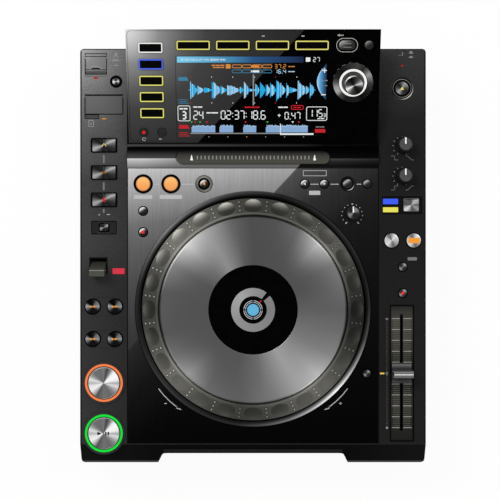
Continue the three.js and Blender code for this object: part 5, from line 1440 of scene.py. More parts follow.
caps = {
    # node: cap, ink, mark, side, dome, bevel
    "usb_stop_button": (stopCap, inkWhite, None, 1, 0.1, 0.3),
    "track_search_back": (darkCap, inkOrange, arrowMarks, -1, 0.15, 0.4),
    "track_search_forward": (darkCap, inkOrange, arrowMarks, 1, 0.15, 0.4),
    "search_back": (darkCap, inkOrange, arrowMarks, -1, 0.15, 0.4),
    "search_forward": (darkCap, inkOrange, arrowMarks, 1, 0.15, 0.4),
    "cue_button": (playCap, inkBlack, None, 1, 0.1, 0.5),
    "play_button": (playCap, inkBlack, playMarks, 1, 0.1, 0.5),
    "loop_in_button": (amberCap, inkOrange, None, 1, 0.3, 0.5),
    "loop_out_button": (amberCap, inkOrange, None, 1, 0.3, 0.5),
    "reloop_button": (smallDome, inkOrange, smallDotMark, 1, 0.5, 0.5),
    "loop_mode_button": (smallDome, inkWhite, None, 1, 0.5, 0.5),
    "slip_button": (smallDome, litRed, dotMark, 1, 0.5, 0.5),
    "call_back_button": (smallDome, inkWhite, triangleMark, -1, 0.5, 0.5),
    "call_forward_button": (smallDome, inkWhite, triangleMark, 1, 0.5, 0.5),
    "delete_button": (deepDome, inkWhite, None, 1, 0.2, 0.15),
    "memory_button": (deepDome, inkWhite, None, 1, 0.5, 0.5),
    "tempo_reset_button": (chromeCap, inkWhite, None, 1, 0.1, 0.3),
    "eject_button": (ejectCap, inkYellow, risingMark, 1, 0.15, 0.4),
    "sync_button": (syncCap, inkWhite, None, 1, 0.15, 0.4),
    "master_button": (syncCap, inkOrange, bandMark, 1, 0.15, 0.4),
    "tempo_range_button": (chromeCap, inkWhite, None, 1, 0.2, 0.3),
    "master_tempo_button": (chromeCap, litRed, dotMark, 1, 0.2, 0.3),
}
for node, (cap, ink, mark, side, dome, bevel) in caps.items():
    x, y, radius, top, foot = capOf(node)
    bm = bmesh.new()
    lathe(bm, capProfile(radius, top - dome, dome, bevel, foot), 96 if radius > 10 else 56)
    if mark:
        mark(bm, top + 0.05, side)
    name = pieceName(node)
    makePiece(name, bm, [cap, ink], node, [node], onDeck(x, y))

# What stands round the caps: black rings of painted shade in the gaps, fine rims with painted highlights, turned
# rings in painted light and two lit rings
rimFine = spunMetalPaintedWedges("rimAluminiumTurnedPaintedHighlight", {
    0: "#a0", 30: "#d0", 60: "#f0", 90: "#dc", 120: "#c0", 150: "#a0", 180: "#74", 210: "#60", 240: "#70",
    270: "#b0", 300: "#d8", 330: "#b8",
})
rimDim = spunMetalPaintedWedges("rimAbsChromedDimPaintedWedges", {
    0: "#20", 60: "#2c", 110: "#50", 150: "#60", 190: "#34", 240: "#1c", 290: "#38", 320: "#44",
})
ringOlive = spunMetalPaintedWedges("ringZincSatinChromedPaintedWedges", {
    0: "#60605a", 50: "#6c6c66", 100: "#7a7a72", 150: "#74746c", 200: "#54544e", 250: "#5c5c56", 300: "#787870",
    330: "#6a6a64",
})
ringDeep = spunMetalPaintedWedges("ringZincBlackChromedPaintedHighlight", {
    0: "#70706a", 40: "#26", 90: "#1c1c1a", 130: "#34342f", 170: "#403f38", 210: "#26", 260: "#4c4c48",
    290: "#b0b0ac", 315: "#d8d8d4", 340: "#a0a09c",
})
# the same ring with painted light: only a crescent at the front right is painted bright as a highlight
ringCrescent = spunMetalPaintedWedges("ringZincPaintedCrescent", {
    0: "#30", 90: "#18", 200: "#18", 262: "#30", 280: "#90", 305: "#d8", 325: "#c0", 345: "#60",
})
ringOrange = litPlastic("ringPolycarbonateOrangeLit", "#ff9a5e", "#f47a42", 19.0)
ringGreen = litPlastic("ringPolycarbonateGreenLit", "#16f050", "#00dc34", 19.0)
ringKinds = [gapBlack, rimFine, rimDim, ringOlive, ringDeep, ringOrange, ringGreen, ringCrescent]
collars = {
    # node: rings from the cap outwards, each its outer radius, its rise and its kind
    "usb_stop_button": [(5.75, 0.2, 0)],
    "track_search_back": [(7.6, 0.2, 0), (7.9, 0.25, 2)],
    "track_search_forward": [(7.6, 0.2, 0), (7.9, 0.25, 2)],
    "search_back": [(7.6, 0.2, 0), (7.9, 0.25, 2)],
    "search_forward": [(7.6, 0.2, 0), (7.9, 0.25, 2)],
    "cue_button": [(15.4, 0.2, 0), (17.5, 0.5, 5)],
    "play_button": [(15.4, 0.2, 0), (17.5, 0.5, 6)],
    "loop_in_button": [(9.0, 0.3, 0)],
    "loop_out_button": [(9.0, 0.3, 0)],
    "reloop_button": [(5.5, 0.2, 0), (7.6, 0.5, 3), (8.1, 0.2, 0)],
    "loop_mode_button": [(4.7, 0.25, 0)],
    "slip_button": [(4.7, 0.25, 0)],
    "call_back_button": [(4.7, 0.25, 0)],
    "call_forward_button": [(4.7, 0.25, 0)],
    "delete_button": [(5.6, 0.2, 0), (6.3, 0.3, 7), (7.0, 0.25, 0)],
    "memory_button": [(4.5, 0.25, 0)],
    "tempo_reset_button": [(6.5, 0.2, 0)],
    "eject_button": [(8.0, 0.2, 0), (8.7, 0.5, 3), (9.7, 0.2, 0), (10.5, 0.35, 4)],
    "sync_button": [(7.4, 0.2, 0)],
    "master_button": [(7.4, 0.2, 0)],
    "tempo_range_button": [(4.6, 0.2, 0)],
    "master_tempo_button": [(4.6, 0.2, 0)],
}
for node, rings in collars.items():
    x, y, radius, top, foot = capOf(node)
    bm = bmesh.new()
    inner = radius + 0.05
    isBig = radius > 10
    if isBig:
        # a turned line with a painted highlight just inside the black ring of painted shade; the boss stands 0.8
        # over the deck
        washer(bm, radius + 0.02, radius + 0.35, -0.35, 1.9, 0.05, 96, 1)
        inner = radius + 0.35
    for outer, rise, kind in rings:
        washer(bm, inner, outer, -0.35, rise + (0.8 if isBig else 0.0), 0.1, 96 if isBig else 64, kind)
        inner = outer
    makePiece(node.replace("_", ".") + ".collar", bm, ringKinds, place=onDeck(x, y))
print("round buttons are made")

# Square keys
# dark chromed ABS keys with painted wedges of reflection
keyChrome = spunMetalPaintedWedges("keyAbsDarkChromedPaintedWedges", {
    0: "#46", 14: "#6a", 27: "#a6", 34: "#8c", 46: "#6c", 60: "#5a", 75: "#3c", 90: "#24", 97: "#48", 106: "#12",
    122: "#26", 150: "#16", 166: "#30", 182: "#62", 196: "#98", 208: "#8c", 222: "#4c", 240: "#2c", 262: "#18",
    300: "#26", 315: "#18", 345: "#2c",
}, 0.5, 0.1, 0.3)
modeChrome = spunMetalPaintedWedges("keyAbsChromedPaintedWedges", {
    0: "#50", 15: "#8c", 45: "#ac", 60: "#9c", 78: "#68", 105: "#44", 135: "#58", 178: "#48", 196: "#90",
    212: "#c8", 228: "#c6", 245: "#98", 270: "#58", 300: "#54", 330: "#90", 348: "#72",
}, 0.5, 0.1, 0.3)
inkRed = litPlastic("inkRedLit", "#f04030")
ledRed = litPlastic("ledLensRed", "#d8141c", "#b00c14", 2.0)
ledAmber = litPlastic("ledLensAmber", "#e89428", "#d88420", 2.0)
# a pale edge of painted highlight along a key's top and round the wheel's mode key
keyEdgeHighlight = mouldedPlastic("keyEdgeAbsSatinPaintedHighlight", "#58", "#70", 1.5, 0.6, 0.4, 0.1, 0.01)
squareKeys = {
    "hot_cue_a": (24.4, 13.6, inkYellow), "hot_cue_b": (24.4, 13.6, inkOrange), "hot_cue_c": (24.4, 13.6, inkRed),
    "recall_key": (10.0, 9.2, inkWhite), "jog_mode_button": (15.4, 13.2, inkWhite),
}
for node, (frameWidth, frameDepth, ink) in squareKeys.items():
    low, high = cornersOf(node)
    x, y, _ = centreOf(node)
    width, depth = high[0] - low[0] - 2.0, high[1] - low[1] - 2.0
    top, foot = high[2] - deckTop, low[2] - deckTop
    bm = bmesh.new()
    roundSlab(bm, width + 2, depth + 2, 1.6, foot, foot + 1.2, 0.1, 0)
    roundSlab(bm, width, depth, 0.9, foot + 1.1, top, 0.35, 0)
    if node == "hot_cue_a":
        bar(bm, [(-2.0, -1.0), (0.0, 1.5), (2.0, -1.0)], 0.9, top - 0.1, top, 1)
    if node == "hot_cue_b":
        for side in (-1, 1):
            lathe(bm, [(1.0, top - 0.1), (1.0, top)], 20, 1, 1.3 * side)
    if node == "hot_cue_c":
        bar(bm, arcPath(1.5, 0, 345, 20), 0.8, top - 0.1, top, 1, True)
    if width > 10:
        bar(bm, [(-width / 2 + 1.0, depth / 2 - 0.55), (width / 2 - 1.0, depth / 2 - 0.55)], 0.5, top - 0.1, top, 2)
    name = pieceName(node)
    chrome = modeChrome if node == "jog_mode_button" else keyChrome
    makePiece(name, bm, [chrome, ink, keyEdgeHighlight], node, [node], onDeck(x, y))
    # a black frame of painted shade in the gap round each key
    bm = bmesh.new()
    rise = top - 0.9 if node != "jog_mode_button" else -0.35
    frameSlab(bm, frameWidth, frameDepth, 1.5, (frameWidth - width) / 2 - 0.1, rise - 1.2, rise + 0.5, 0)
    if node == "jog_mode_button":
        frameSlab(bm, frameWidth - 0.9, frameDepth - 0.9, 1.2, 0.5, rise, rise + 0.7, 1)
    makePiece(node.replace("_", ".") + ".frame", bm, [gapBlack, keyEdgeHighlight], place=onDeck(x, y))
print("square keys are made")

# Printed marks and lamps on the strips and the plate
deckInk = printedInk("deckInkScreenPrinted", "#98", "#ac")
deckInkDim = printedInk("deckInkScreenPrintedDim", "#6e", "#7c")
plateInk = printedInk("plateInkScreenPrinted", "#b2", "#c0")
bm = bmesh.new()
flat = (-0.05, 0.06)
# links between the hot cue keys
for fromY, toY in ((88.7, 81.2), (63.4, 56.0), (38.6, 35.2)):
    bar(bm, [(-138.2, fromY), (-138.2, toY)], 1.5, *flat, 1)
blot(bm, [(-143.3, 32.8), (-141.5, 32.8), (-142.4, 34.4)], *flat, 0)
bar(bm, [(-135.3, 33.5), (-132.5, 33.5)], 0.9, *flat, 0)
# a computer and its stick beside the socket, and a card under the card door
computer = [(-129.2, 177.0), (-129.2, 180.2), (-125.2, 180.2), (-125.2, 177.0)]
bar(bm, computer, 0.55, *flat, 0, True)
bar(bm, [(-130.4, 176.0), (-124.0, 176.0)], 0.9, *flat, 0)
bar(bm, [(-126.9, 180.6), (-126.9, 183.2)], 1.5, *flat, 0)
bar(bm, [(-128.6, 171.6), (-125.3, 171.6)], 0.8, *flat, 0)
bar(bm, [(-152.0, 115.0), (-152.0, 120.8), (-148.6, 120.8), (-147.6, 119.4), (-147.6, 115.0)], 0.55, *flat, 0, True)
bar(bm, [(-149.9, 116.6), (-149.9, 118.6)], 0.6, *flat, 0)
# the power switch's position, and how the knobs act
bar(bm, [(134.4, 181.0), (137.8, 181.0)], 0.5, *flat, 1)
bar(bm, [(138.4, 180.4), (138.4, 184.0)], 0.9, *flat, 1)
for y, tall in ((183.6, 1.1), (179.6, 0.7)):
    blot(bm, [(144.9, y), (147.7, y), (147.1, y + tall), (145.5, y + tall)], *flat, 0)
    bar(bm, [(144.2, y - 0.7), (148.4, y - 0.7)], 0.5, *flat, 0)
for x, y, mirrored in ((127.9, 84.1, -1), (127.9, 56.3, 1)):
    low, high = (y, y + 3.6) if mirrored > 0 else (y + 3.6, y)
    bar(bm, [(x, low), (x + 3.2, low), (x + 3.2, high), (x + 6.4, high)], 0.55, *flat, 1)
    bar(bm, [(x + 13.4, low), (x + 15.2, low), (x + 19.0, high), (x + 20.8, high)], 0.55, *flat, 1)
for drop in (0.0, 28.35):
    ticks = [
        (133.9, 104.5), (131.0, 101.4), (129.7, 97.4), (130.6, 92.8), (133.9, 89.8), (141.8, 89.8),
        (138.0, 105.3)
    ]
    for x, y in ticks:
        away = Vector((x - 138.4, y - 97.4)).normalized()
        bar(
            bm, [(x - away.x * 0.6, y - drop - away.y * 0.6), (x + away.x * 0.6, y - drop + away.y * 0.6)],
            0.5, *flat, 0
        )
# the card's and the socket's lamps, the standby lamp, a bare label box
for x, y, width, depth, material in (
    (-145.7, 160.0, 4.0, 1.5, 2), (-138.0, 122.2, 4.0, 1.1, 3), (138.0, 171.3, 2.0, 1.4, 2),
):
    roundSlab(bm, width, depth, 0.4, -0.05, 0.25, 0.1, material, x, y)
roundSlab(bm, 8.6, 3.0, 0.3, -0.05, 0.06, 0.03, 1, 147.5, -7.5)
roundSlab(bm, 11.1, 5.3, 0.5, -0.05, 0.12, 0.05, 4, -124.5, -18.9)
# the scale beside the slider: a row of dots between a minus and a plus, and a lamp at its middle
for index in range(51):
    y = -63.2 - 2.016 * index
    if index == 0:
        for shift in (-0.45, 0.45):
            bar(bm, [(122.9, y + shift), (125.1, y + shift)], 0.35, *flat, 0)
    elif index == 25:
        bar(bm, arcPath(0.9, 0, 330, 12, 124.0, y), 0.4, *flat, 0, True)
    elif index == 50:
        blot(bm, [(124.0, y - 1.2), (125.2, y), (124.0, y + 1.2), (122.8, y)], *flat, 0)
    else:
        bar(bm, [(124.0, y - 0.22), (124.0, y + 0.22)], 0.7, *flat, 1)
roundSlab(bm, 4.0, 1.5, 0.3, -0.05, 0.2, 0.08, 5, 119.6, -113.6)
# fine engraved lines that join the search keys
for y in (-43.1, -60.4, -74.2, -89.8):
    bar(bm, [(-147.0, y), (-129.0, y)], 0.3, -0.05, 0.03, 6)
grooveInk = printedInk("engravedLineAbsBlack", "#16", "#1e")
labelRed = litPlastic("labelPolycarbonateRedLit", "#dc3246", "#cc2a3e", 300)
lampYellow = litPlastic("lampPolycarbonateYellow", "#e6c050")
makePiece(
    "stripMarks", bm, [deckInk, deckInkDim, ledRed, ledAmber, labelRed, lampYellow, grooveInk], place=onDeck(0, 0),
)

bm = bmesh.new()
for fromX, toX in ((-91.2, -86.3), (-65.9, -55.2), (53.2, 60.8), (71.8, 79.4), (96.1, 100.3)):
    bar(bm, [(fromX, 61.6), (toX, 61.6)], 0.7, *flat, 0)
for left, right in ((-110.3, -93.2), (-86.4, -65.7)):
    roundSlab(bm, right - left, 3.8, 0.4, -0.05, 0.06, 0.03, 0, (left + right) / 2, 49.8)
roundSlab(bm, 10.3, 3.9, 0.4, -0.05, 0.06, 0.03, 0, 57.1, 53.6)
frameSlab(bm, 21.8, 5.3, 0.5, 0.5, -0.05, 0.06, 0, 57.2, 71.8)
bar(bm, [(91.9, 42.6), (91.9, 43.8)], 1.3, *flat, 0)
for x, y in ((87.8, 42.2), (84.8, 39.9), (82.8, 36.3), (82.2, 32.5), (83.5, 28.7)):
    for dotX in (x, 183.6 - x):
        bar(bm, [(dotX - 0.4, y), (dotX + 0.4, y)], 0.8, *flat, 0)
bar(bm, [(85.4, 25.1), (87.2, 26.5)], 0.9, *flat, 0)
bar(bm, [(98.2, 25.1), (96.4, 26.5)], 0.9, *flat, 0)
for side in (-1, 1):
    path = [(87.6, -127.6), (82.7, -133.7), (76.9, -139.5), (71.1, -144.3), (68.4, -145.9)]
    bar(bm, [(side * x, y) for x, y in path], 0.75, *flat, 0)
    blot(bm, [(side * x, y) for x, y in ((71.8, -143.0), (70.6, -146.2), (65.6, -147.6))], *flat, 0)
    bar(bm, [(side * 82.1, -141.4), (side * 79.9, -141.4)], 0.7, *flat, 0)
    if side > 0:
        bar(bm, [(81.0, -142.5), (81.0, -140.3)], 0.7, *flat, 0)
makePiece("plateMarks", bm, [plateInk, deckInk], "player", (), onDeck(0, 0))
print("marks are printed")

# The recess of the wheel's mode key, the card and socket doors, the recall key's recess
recessAbs = mouldedPlastic("recessAbsMatt", "#0b0b0b", "#121212", 2.0, 0.8, 0.5, 0.06, 0.02)
oliveAbs = mouldedPlastic("recessAbsOlive", "#161512", "#1e1d1a", 2.0, 0.8, 0.5, 0.1, 0.02)
lampBlue = litPlastic("lampPolycarbonateBlue", "#3a5cf0")
lampLemon = litPlastic("lampPolycarbonateLemon", "#e6e058")
bm = bmesh.new()
frameSlab(bm, 38.4, 18.2, 1.2, 1.0, -0.5, 0.12, 0)
frameSlab(bm, 38.8, 18.6, 1.2, 0.2, -0.1, 0.14, 4)
roundSlab(bm, 14.0, 5.1, 0.4, -0.7, 0.05, 0.1, 1, 127.4 - 138.25, 45.65 - 42.1)
roundSlab(bm, 14.0, 4.6, 0.4, -0.7, 0.05, 0.1, 2, 127.4 - 138.25, 37.95 - 42.1)
makePiece("jogModeLamps", bm, [recessAbs, lampBlue, lampLemon, keyEdgeHighlight, trayCoat], place=onDeck(138.25, 42.1))
bm = bmesh.new()
# a black frame of painted shade in the gap round the recall key
frameSlab(bm, 23.6, 12.6, 1.4, 0.9, -0.5, 0.1, 0)
for side in (-1, 1):
    roundSlab(bm, 5.6, 10.6, 0.5, -0.6, 0.05, 0.05, 1, side * 7.9, 0)
makePiece("recallRecess", bm, [gapBlack, oliveAbs], place=onDeck(-138.0, 21.4))


def cornerPlastic(name, stops, rides):
    # satin ABS in the cabinet's painted sheen, counted from its rear left corner; the grain may ride on the piece
    material, tree = startMaterial(name)
    place = placeInMm(tree, (body["low"][0], body["high"][1], deckTop), True)
    tone = toneAlong(tree, reachOf(tree, place), 0, 300, stops)
    satinSkin(tree, placeInMm(tree) if rides else place, tone, 0.45, 0.08, (0.06, 1.2), (0.8, 0.03))
    return material


doorCoat = cornerPlastic("doorAbsSatinPaintedSheen", {0: "#b4", 0.05: "#86", 0.12: "#6c", 0.2: "#5c", 0.3: "#4e"}, True)
for node in ("usb_door", "sd_door"):
    dress(node, doorCoat)
    softenEdges(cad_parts[node], 0.25, 1)
print("doors and recesses are dressed")

# Lever, knobs and slider
# the lever's satin ABS with painted light: a pale band of painted highlight across it, darker to the rear
leverCoat = bandedPlastic("leverAbsSatinPaintedHighlight", -3.5, 3.5, {
    0: "#50504a", 0.2: "#4c4c46", 0.26: "#8c8c84", 0.36: "#44443e", 1: "#34342f",
}, 0.45, 0.08, (0.08, 1.0), (0.7, 0.03), centreOf("direction_lever"))
dress("direction_lever", leverCoat)
softenEdges(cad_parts["direction_lever"], 0.5, 2)

knobTop, tree = startMaterial("knobFaceAbsSatin")
place = placeInMm(tree)
closeMaterial(
    tree,
    {"Roughness": 0.4, "Specular IOR Level": 0.1},
    {
        "Base Color": unevenColour(tree, place, "#40403f", "#4c4c4b", 4.0),
        "Normal": grainBump(tree, place, 0.5, 0.02)
    },
)
knobSide = mouldedPlastic("knobSkirtAbsMoulded", "#0e", "#1a", 1.5, 0.8, 0.45, 0.12, 0.02)
# the wheel's adjust knob: a black spun face with painted wedges of reflection
adjustFace = spunMetalPaintedWedges("knobFaceAluminiumBlackSpunPaintedWedges", {
    0: "#3a", 15: "#58", 30: "#6e", 48: "#7c", 62: "#74", 78: "#4c", 100: "#2c", 130: "#1c", 150: "#1f",
    168: "#34", 182: "#54", 200: "#76", 215: "#7a", 230: "#6c", 248: "#40", 268: "#22", 330: "#20", 345: "#28",
}, 0.5, 0.08, 0.35)
knobs = {
    # node: skirt radius, top radius, height, face, how deep its flutes are
    "brake_knob": (8.0, 6.3, 13.5, knobTop, 1.2), "start_knob": (8.0, 6.3, 13.5, knobTop, 1.2),
    "jog_adjust_knob": (6.6, 6.1, 9.0, adjustFace, 0.5),
}
for node, (skirt, top, height, face, scallop) in knobs.items():
    x, y, _ = centreOf(node)
    foot = cornersOf(node)[0][2] - deckTop
    bm = bmesh.new()
    rings = []
    profile = [
        (2.6, foot), (2.6, 0.35), (skirt, 0.35), (skirt, 1.6), (skirt - 0.3, 2.2), (top + 0.55, height - 1.2),
        (top + 0.2, height - 0.5), (top - 0.4, height - 0.1), (top - 0.9, height - 0.05),
    ]
    for row, (radius, z) in enumerate(profile):
        ring = circle(radius, z, 120)
        if 2 <= row <= 6:
            for index, point in enumerate(ring):
                wave = 0.5 - 0.5 * math.cos(math.tau * index * 10 / 120)
                share = 1 - scallop * (0.35 if row > 4 else 1.0) * wave ** 3 / 10
                point.x, point.y = point.x * share, point.y * share
        rings.append(ring)
    loft(bm, rings, 0)
    lathe(bm, [(top - 0.7, height - 0.2), (top - 0.8, height - 0.05), (0.3, height - 0.02)], 64, 1)
    bar(bm, [(0.0, 0.3), (0.0, top - 0.2)], 1.3, height - 0.3, height, 2)
    name = pieceName(node)
    makePiece(name, bm, [knobSide, face, padWhite], node, [node], onDeck(x, y))

# Fader strip: a sheet at the floor of the recess, pale at both ends of its travel
faderX, faderLow, faderHigh = 137.9, -176.2, -50.6
fader = {"slotLeft": 136.3, "slotRight": 138.9, "floor": -1.1}
stripSheet = bandedPlastic("faderSheetPolyesterPrinted", faderLow, faderHigh, {
    0: "#171716", 0.12: "#1f1f1d", 0.3: "#302f2b", 0.42: "#1d1d1b", 0.55: "#191917", 0.75: "#3a3933",
    0.88: "#403f39", 0.95: "#33322e", 1: "#1c",
}, 0.5, 0.08, (0.05, 1.0), (0.6, 0.01))
bm = bmesh.new()
slotLow, slotHigh = -167.2, -58.7
low, high = faderLow + 0.3, faderHigh - 0.3
left, right = 127.4, 148.4
for box in (
    (left, low, fader["slotLeft"], high), (fader["slotRight"], low, right, high),
    (fader["slotLeft"], low, fader["slotRight"], slotLow), (fader["slotLeft"], slotHigh, fader["slotRight"], high),
):
    bar(
        bm, [(box[0], (box[1] + box[3]) / 2), (box[2], (box[1] + box[3]) / 2)], box[3] - box[1], -1.3,
        fader["floor"], 0
    )
for index in range(51):
    y = -62.9 - 2.02 * index
    isLong = index % 5 == 0
    reach = 9.1 if isLong else 8.2
    for x0, x1 in ((faderX - reach, fader["slotLeft"] - 0.4), (fader["slotRight"] + 0.4, faderX + reach)):
        bar(
            bm, [(x0, y), (x1, y)], 0.8 if isLong else 0.45, fader["floor"] - 0.1, fader["floor"] + 0.06,
            1 if isLong else 2
        )
scaleInk = printedInk("scaleInkScreenPrinted", "#8e8d86", "#9c9b94")
scaleInkDim = printedInk("scaleInkScreenPrintedDim", "#5a594f", "#66655b")
# a black frame of painted shade round the floor of the recess
frameSlab(bm, 22.6, 126.8, 1.6, 1.0, -1.3, 0.08, 3, faderX, (faderLow + faderHigh) / 2)
makePiece("faderSheet", bm, [stripSheet, scaleInk, scaleInkDim, gapBlack], place=onDeck(0, 0))

# The slider's cap
sliderX, sliderY, _ = centreOf("tempo_slider")
sliderFoot = cornersOf("tempo_slider")[0][2] - deckTop
sliderTop = cornersOf("tempo_slider")[1][2] - deckTop


sliderSkin = (0.4, 0.1, (0.05, 1.0), (0.6, 0.02))
# painted light on the slider's cap: pale and dark bands across its base and its ridge, from front to rear
baseTones = {
    0: "#2a", 0.08: "#4a", 0.16: "#3c", 0.26: "#24", 0.34: "#1a", 0.66: "#1e", 0.74: "#34", 0.82: "#50",
    0.88: "#6e", 0.92: "#5c", 0.95: "#30", 1: "#24",
}
ridgeTones = {
    0: "#2c", 0.14: "#6c", 0.32: "#70", 0.36: "#24", 0.42: "#26", 0.66: "#24", 0.7: "#7a", 0.86: "#7c", 0.9: "#4a",
    1: "#34",
}


def acrossBar(bm, outline, width, material=0):
    # an outline in the Y-Z plane drawn out to a width along X
    loft(bm, [[Vector((side * width / 2, y, z)) for y, z in outline] for side in (-1, 1)], material)


bm = bmesh.new()
acrossBar(bm, [(-2.5, sliderFoot), (2.5, sliderFoot), (2.5, 0.2), (-2.5, 0.2)], 1.8)
acrossBar(
    bm,
    [
        (-9.5, -0.8), (9.5, -0.8), (9.6, 0.6), (9.0, 1.3), (4.3, 1.55), (3.7, 3.0), (-3.7, 3.0), (-4.3, 1.55),
        (-9.0, 1.3), (-9.6, 0.6),
    ],
    17.9,
)
top = sliderTop
acrossBar(
    bm,
    [
        (-3.9, 2.5), (3.9, 2.5), (3.5, 4.5), (3.3, top - 1.0), (3.0, top - 0.3), (2.6, top - 0.05),
        (-2.6, top - 0.05), (-3.0, top - 0.3), (-3.3, top - 1.0), (-3.5, 4.5),
    ],
    17.9,
    1,
)
bar(bm, [(-8.8, 0.05), (8.8, 0.05)], 1.5, top - 0.3, top, 2)
sliderLine = mouldedPlastic("sliderLineAbsPale", "#c8c8c6", "#dcdcda", 1.2, 0.6, 0.5, 0.08, 0.01)
slider = makePiece(
    "tempoSlider",
    bm,
    [
        bandedPlastic("sliderBaseAbsSatinPaintedLight", -9.8, 9.8, baseTones, *sliderSkin),
        bandedPlastic("sliderRidgeAbsSatinPaintedLight", -3.6, 3.6, ridgeTones, *sliderSkin), sliderLine,
    ],
    "tempo_slider",
    ["tempo_slider"],
    onDeck(sliderX, sliderY),
)
softenEdges(slider, 0.25, 2)
print("slider is made")

# The middle display of the wheel
hubTop = cornersOf("jog_hub")[1][2] - deckTop
# Fine-grained ABS ring round the middle: pale gray with a slow fall of tone
hubGray, tree = startMaterial("hubRingAbsFrosted")
place = placeInMm(tree)
hubTones = {0: "#7c", 40: "#80", 90: "#90", 130: "#a4", 180: "#98", 230: "#8c", 300: "#84"}
turned = tonesRound(tree, place, hubTones)
satinSkin(tree, place, turned, 0.5, 0.08, (0.08, 0.5), (0.4, 0.02))
hubBlue = litPlastic("hubLensBlueLit", "#62b4dc", "#5aa6d2", 8.0)
hubWhite = litPlastic("hubSegmentWhiteLit", "#d2d6d8", "#c4c8ca", 300)
bm = bmesh.new()
level = (hubTop - 0.4, hubTop + 0.1)
bar(bm, arcPath(16.3, 52, 400, 140), 7.4, *level, 0)
bar(bm, arcPath(16.3, 41.5, 50.5, 6), 7.2, level[0], level[1] - 0.05, 1)
for start in (4, 94, 184, 274):
    bar(bm, arcPath(8.4, start, start + 82, 20), 0.45, *level, 2)
    bar(bm, arcPath(6.9, start, start + 82, 20), 0.4, *level, 2)
lathe(bm, [(5.4, level[0]), (5.4, level[1] - 0.05), (5.3, level[1])], 64, 3)
a = math.radians(49)
bar(bm, [(9.4 * math.cos(a), 9.4 * math.sin(a)), (11.4 * math.cos(a), 11.4 * math.sin(a))], 1.0, *level, 4)
makePiece(
    "hubFace", bm, [hubGray, gapBlack, hubWhite, hubBlue, litRed], "player", (), onDeck(jogX, jogY)
)
print("hub face is made")

# Chin lip, deck line, small trims
chinFall = 10.5 / 18.6


def onChin(x, y, rise=0.0):
    return Vector((x, y, deckTop - chinFall * max(deckFront - y, 0.0) + rise))


bm = bmesh.new()
# a lip of one moulding with the chin, which rounds the corners of the recess in it
pairs = [
    ((-85.05, -190.9), (-85.2, -190.8)), ((-84.4, -189.6), (-84.8, -189.2)), ((-83.4, -188.8), (-84.2, -187.6)),
    ((-82.0, -188.4), (-83.2, -187.0)), ((-79.5, -188.3), (-80.0, -186.9)),
]
pairs += [((-frontX, frontY), (-rearX, rearY)) for (frontX, frontY), (rearX, rearY) in pairs[::-1]]
loft(bm, [
    [onChin(*front, -3.0), onChin(*front, 0.03), onChin(*rear, 0.03), onChin(*rear, -3.0)] for front, rear in pairs
])
makePiece("chinLip", bm, [stripAbs])
bm = bmesh.new()
for fromX, toX in ((-159.2, -156.4), (-119.6, 159.2)):
    bar(bm, [(fromX, deckFront + 0.1), (toX, deckFront + 0.1)], 0.9, deckTop - 0.15, deckTop + 0.03)
edgeLine = mouldedPlastic("edgeLineAbsPolished", "#20", "#26", 3.0, 1.0, 0.3, 0.02, 0.0)
makePiece("deckFrontLine", bm, [edgeLine])

# A dark outline of painted shade in the gap round each door, and what shows in front of it
bm = bmesh.new()
doorLines = {"width": 0.7, "bottom": -0.4, "top": 0.08, "usb": (-155.45, -135.55), "sd": (-155.7, -120.4)}
usbLeft, usbRight = doorLines["usb"]
sdLeft, sdRight = doorLines["sd"]


def outlineRuns(bm, runs):
    for start, end in runs:
        bar(bm, [start, end], doorLines["width"], doorLines["bottom"], doorLines["top"], 0)


outlineRuns(bm, [
    ((usbLeft, 180.8), (usbLeft, 182.6)), ((usbRight, 180.8), (usbRight, 182.6)),
    ((usbLeft - 0.1, 182.45), (usbRight + 0.1, 182.45)),
    ((usbLeft, 163.4), (usbLeft, 165.8)), ((usbRight, 163.4), (usbRight, 165.8)),
    ((usbLeft - 0.1, 163.55), (usbRight + 0.1, 163.55)),
    ((sdLeft - 0.35, 144.45), (sdRight + 0.35, 144.45)), ((sdLeft - 0.35, 126.4), (sdRight + 0.35, 126.4)),
])
roundSlab(bm, 19.4, 1.6, 0.4, -0.8, -0.25, 0.1, 1, -145.5, 164.7)
roundSlab(bm, 21.6, 1.9, 0.4, -0.8, 0.05, 0.05, 2, -145.5, 162.2)
frameSlab(bm, 13.6, 4.6, 1.4, 0.7, -0.4, 0.08, 0, -149.2, 124.3)
roundSlab(bm, 12.4, 3.6, 0.6, -0.8, -0.25, 0.1, 1, -149.2, 124.4)
# a patch in the tone of the cabinet's painted sheen, in front of the socket's door
stripFill = mouldedPlastic("stripFillAbsSatinPaintedSheen", "#72", "#7c", 1.3, 0.9, 0.5, 0.02, 0.05)
tabCoat = cornerPlastic("doorPocketAbsSatinPaintedSheen", {0: "#78", 0.08: "#54", 0.2: "#44", 0.3: "#3c"}, False)
makePiece("doorOutlines", bm, [gapBlack, tabCoat, stripFill], place=onDeck(0, 0))
# the sides of both outlines are on the doors and swing with them
for door, frontY, rearEndY in (("usb", 166.4, 177.9), ("sd", 127.3, 141.6)):
    bm = bmesh.new()
    outlineRuns(bm, [((x, frontY), (x, rearEndY)) for x in doorLines[door]])
    makePiece(door + "DoorSides", bm, [gapBlack], door + "_door", place=onDeck(0, 0))
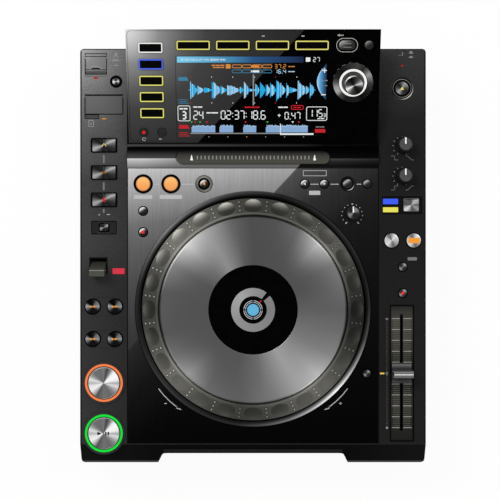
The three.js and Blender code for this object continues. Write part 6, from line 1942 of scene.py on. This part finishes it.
# the half-moon grip in the socket's door, with a painted highlight on its edge and painted shade inside, and a black
# line of painted shade at the step in front of it
low, high = cornersOf("usb_door")
doorTop = high[2] - deckTop
bm = bmesh.new()
bar(bm, [(low[0] + 0.6, 167.6), (high[0] - 0.6, 167.6)], 0.6, doorTop - 0.3, doorTop, 0)
moon = [(-145.5 + 5.7 * math.cos(a), 167.8 + 3.3 * math.sin(a)) for a in [math.pi * s / 12 for s in range(13)]]
blot(bm, moon, doorTop - 0.3, doorTop + 0.02, 1)
inner = [(-145.5 + 4.9 * math.cos(a), 168.0 + 1.8 * math.sin(a)) for a in [math.pi * s / 12 for s in range(13)]]
blot(bm, inner, doorTop - 0.3, doorTop + 0.05, 2)
moonEdgeHighlight = mouldedPlastic("gripEdgeAbsSatinPaintedHighlight", "#8e", "#9c", 1.0, 0.6, 0.4, 0.08, 0.01)
makePiece("usbDoorGrip", bm, [gapBlack, moonEdgeHighlight, knobSide], "usb_door", (), onDeck(0, 0))

# Sleeves of the jacks at the rear, and the screws that hold the rear panel and the tray
# the sleeves and screw heads are spun, with painted wedges of reflection
nickel = spunMetalPaintedWedges(
    "sleeveBrassNickelPlatedPaintedWedges", {0: "#a8", 40: "#e8", 90: "#c0", 140: "#88", 200: "#c8", 250: "#f0", 300: "#90"}
)
screwSteel = spunMetalPaintedWedges(
    "screwSteelZincPlatedPaintedWedges", {0: "#70", 50: "#a0", 110: "#60", 180: "#88", 230: "#b0", 300: "#58"}
)
rearY = body["high"][1]
rear = dict(zip(("low", "high"), cornersOf("rear_panel")))
rearWide, rearTall = rear["high"][0] - rear["low"][0], rear["high"][2] - rear["low"][2]


def onRear(across, up, out=0.0):
    return ((0.5 - across) * rearWide, rearY + out, rear["low"][2] + up * rearTall)


jacks = {
    "control": (0.26, 0.5, 3.0), "audioLeft": (0.16, 0.66, 8.5), "audioRight": (0.16, 0.36, 8.5),
    "digital": (0.205, 0.5, 8.5)
}
for name, (across, up, reach) in jacks.items():
    bm = bmesh.new()
    washer(bm, 1.75, 4.1, reach - 3.0, reach, 0.3, 48)
    makePiece(name + "Sleeve", bm, [nickel], "player", (), onRear(across, up), -math.pi / 2)
head = [(2.6, -0.4), (2.6, 0.5), (2.2, 1.0), (1.5, 1.2)]
screws = [(across, up) for across in (0.03, 0.5, 0.97) for up in (0.12, 0.9)]
for index, (across, up) in enumerate(screws):
    bm = bmesh.new()
    lathe(bm, head, 24)
    # a black cross of painted shade in the screw's slot
    for turn in (0, math.pi / 2):
        dx, dy = 1.4 * math.cos(turn), 1.4 * math.sin(turn)
        bar(bm, [(-dx, -dy), (dx, dy)], 0.5, 1.0, 1.25, 1)
    makePiece(
        "rearScrew%d" % index, bm, [screwSteel, gapBlack], "player", (), onRear(across, up),
        -math.pi / 2
    )
darkKeyAbs = mouldedPlastic("powerKeyAbsMoulded", "#1a", "#24", 2.0, 0.8, 0.45, 0.12, 0.02)
dress("power_button", darkKeyAbs)
softenEdges(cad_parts["power_button"], 0.5, 2)
print("trims are made")
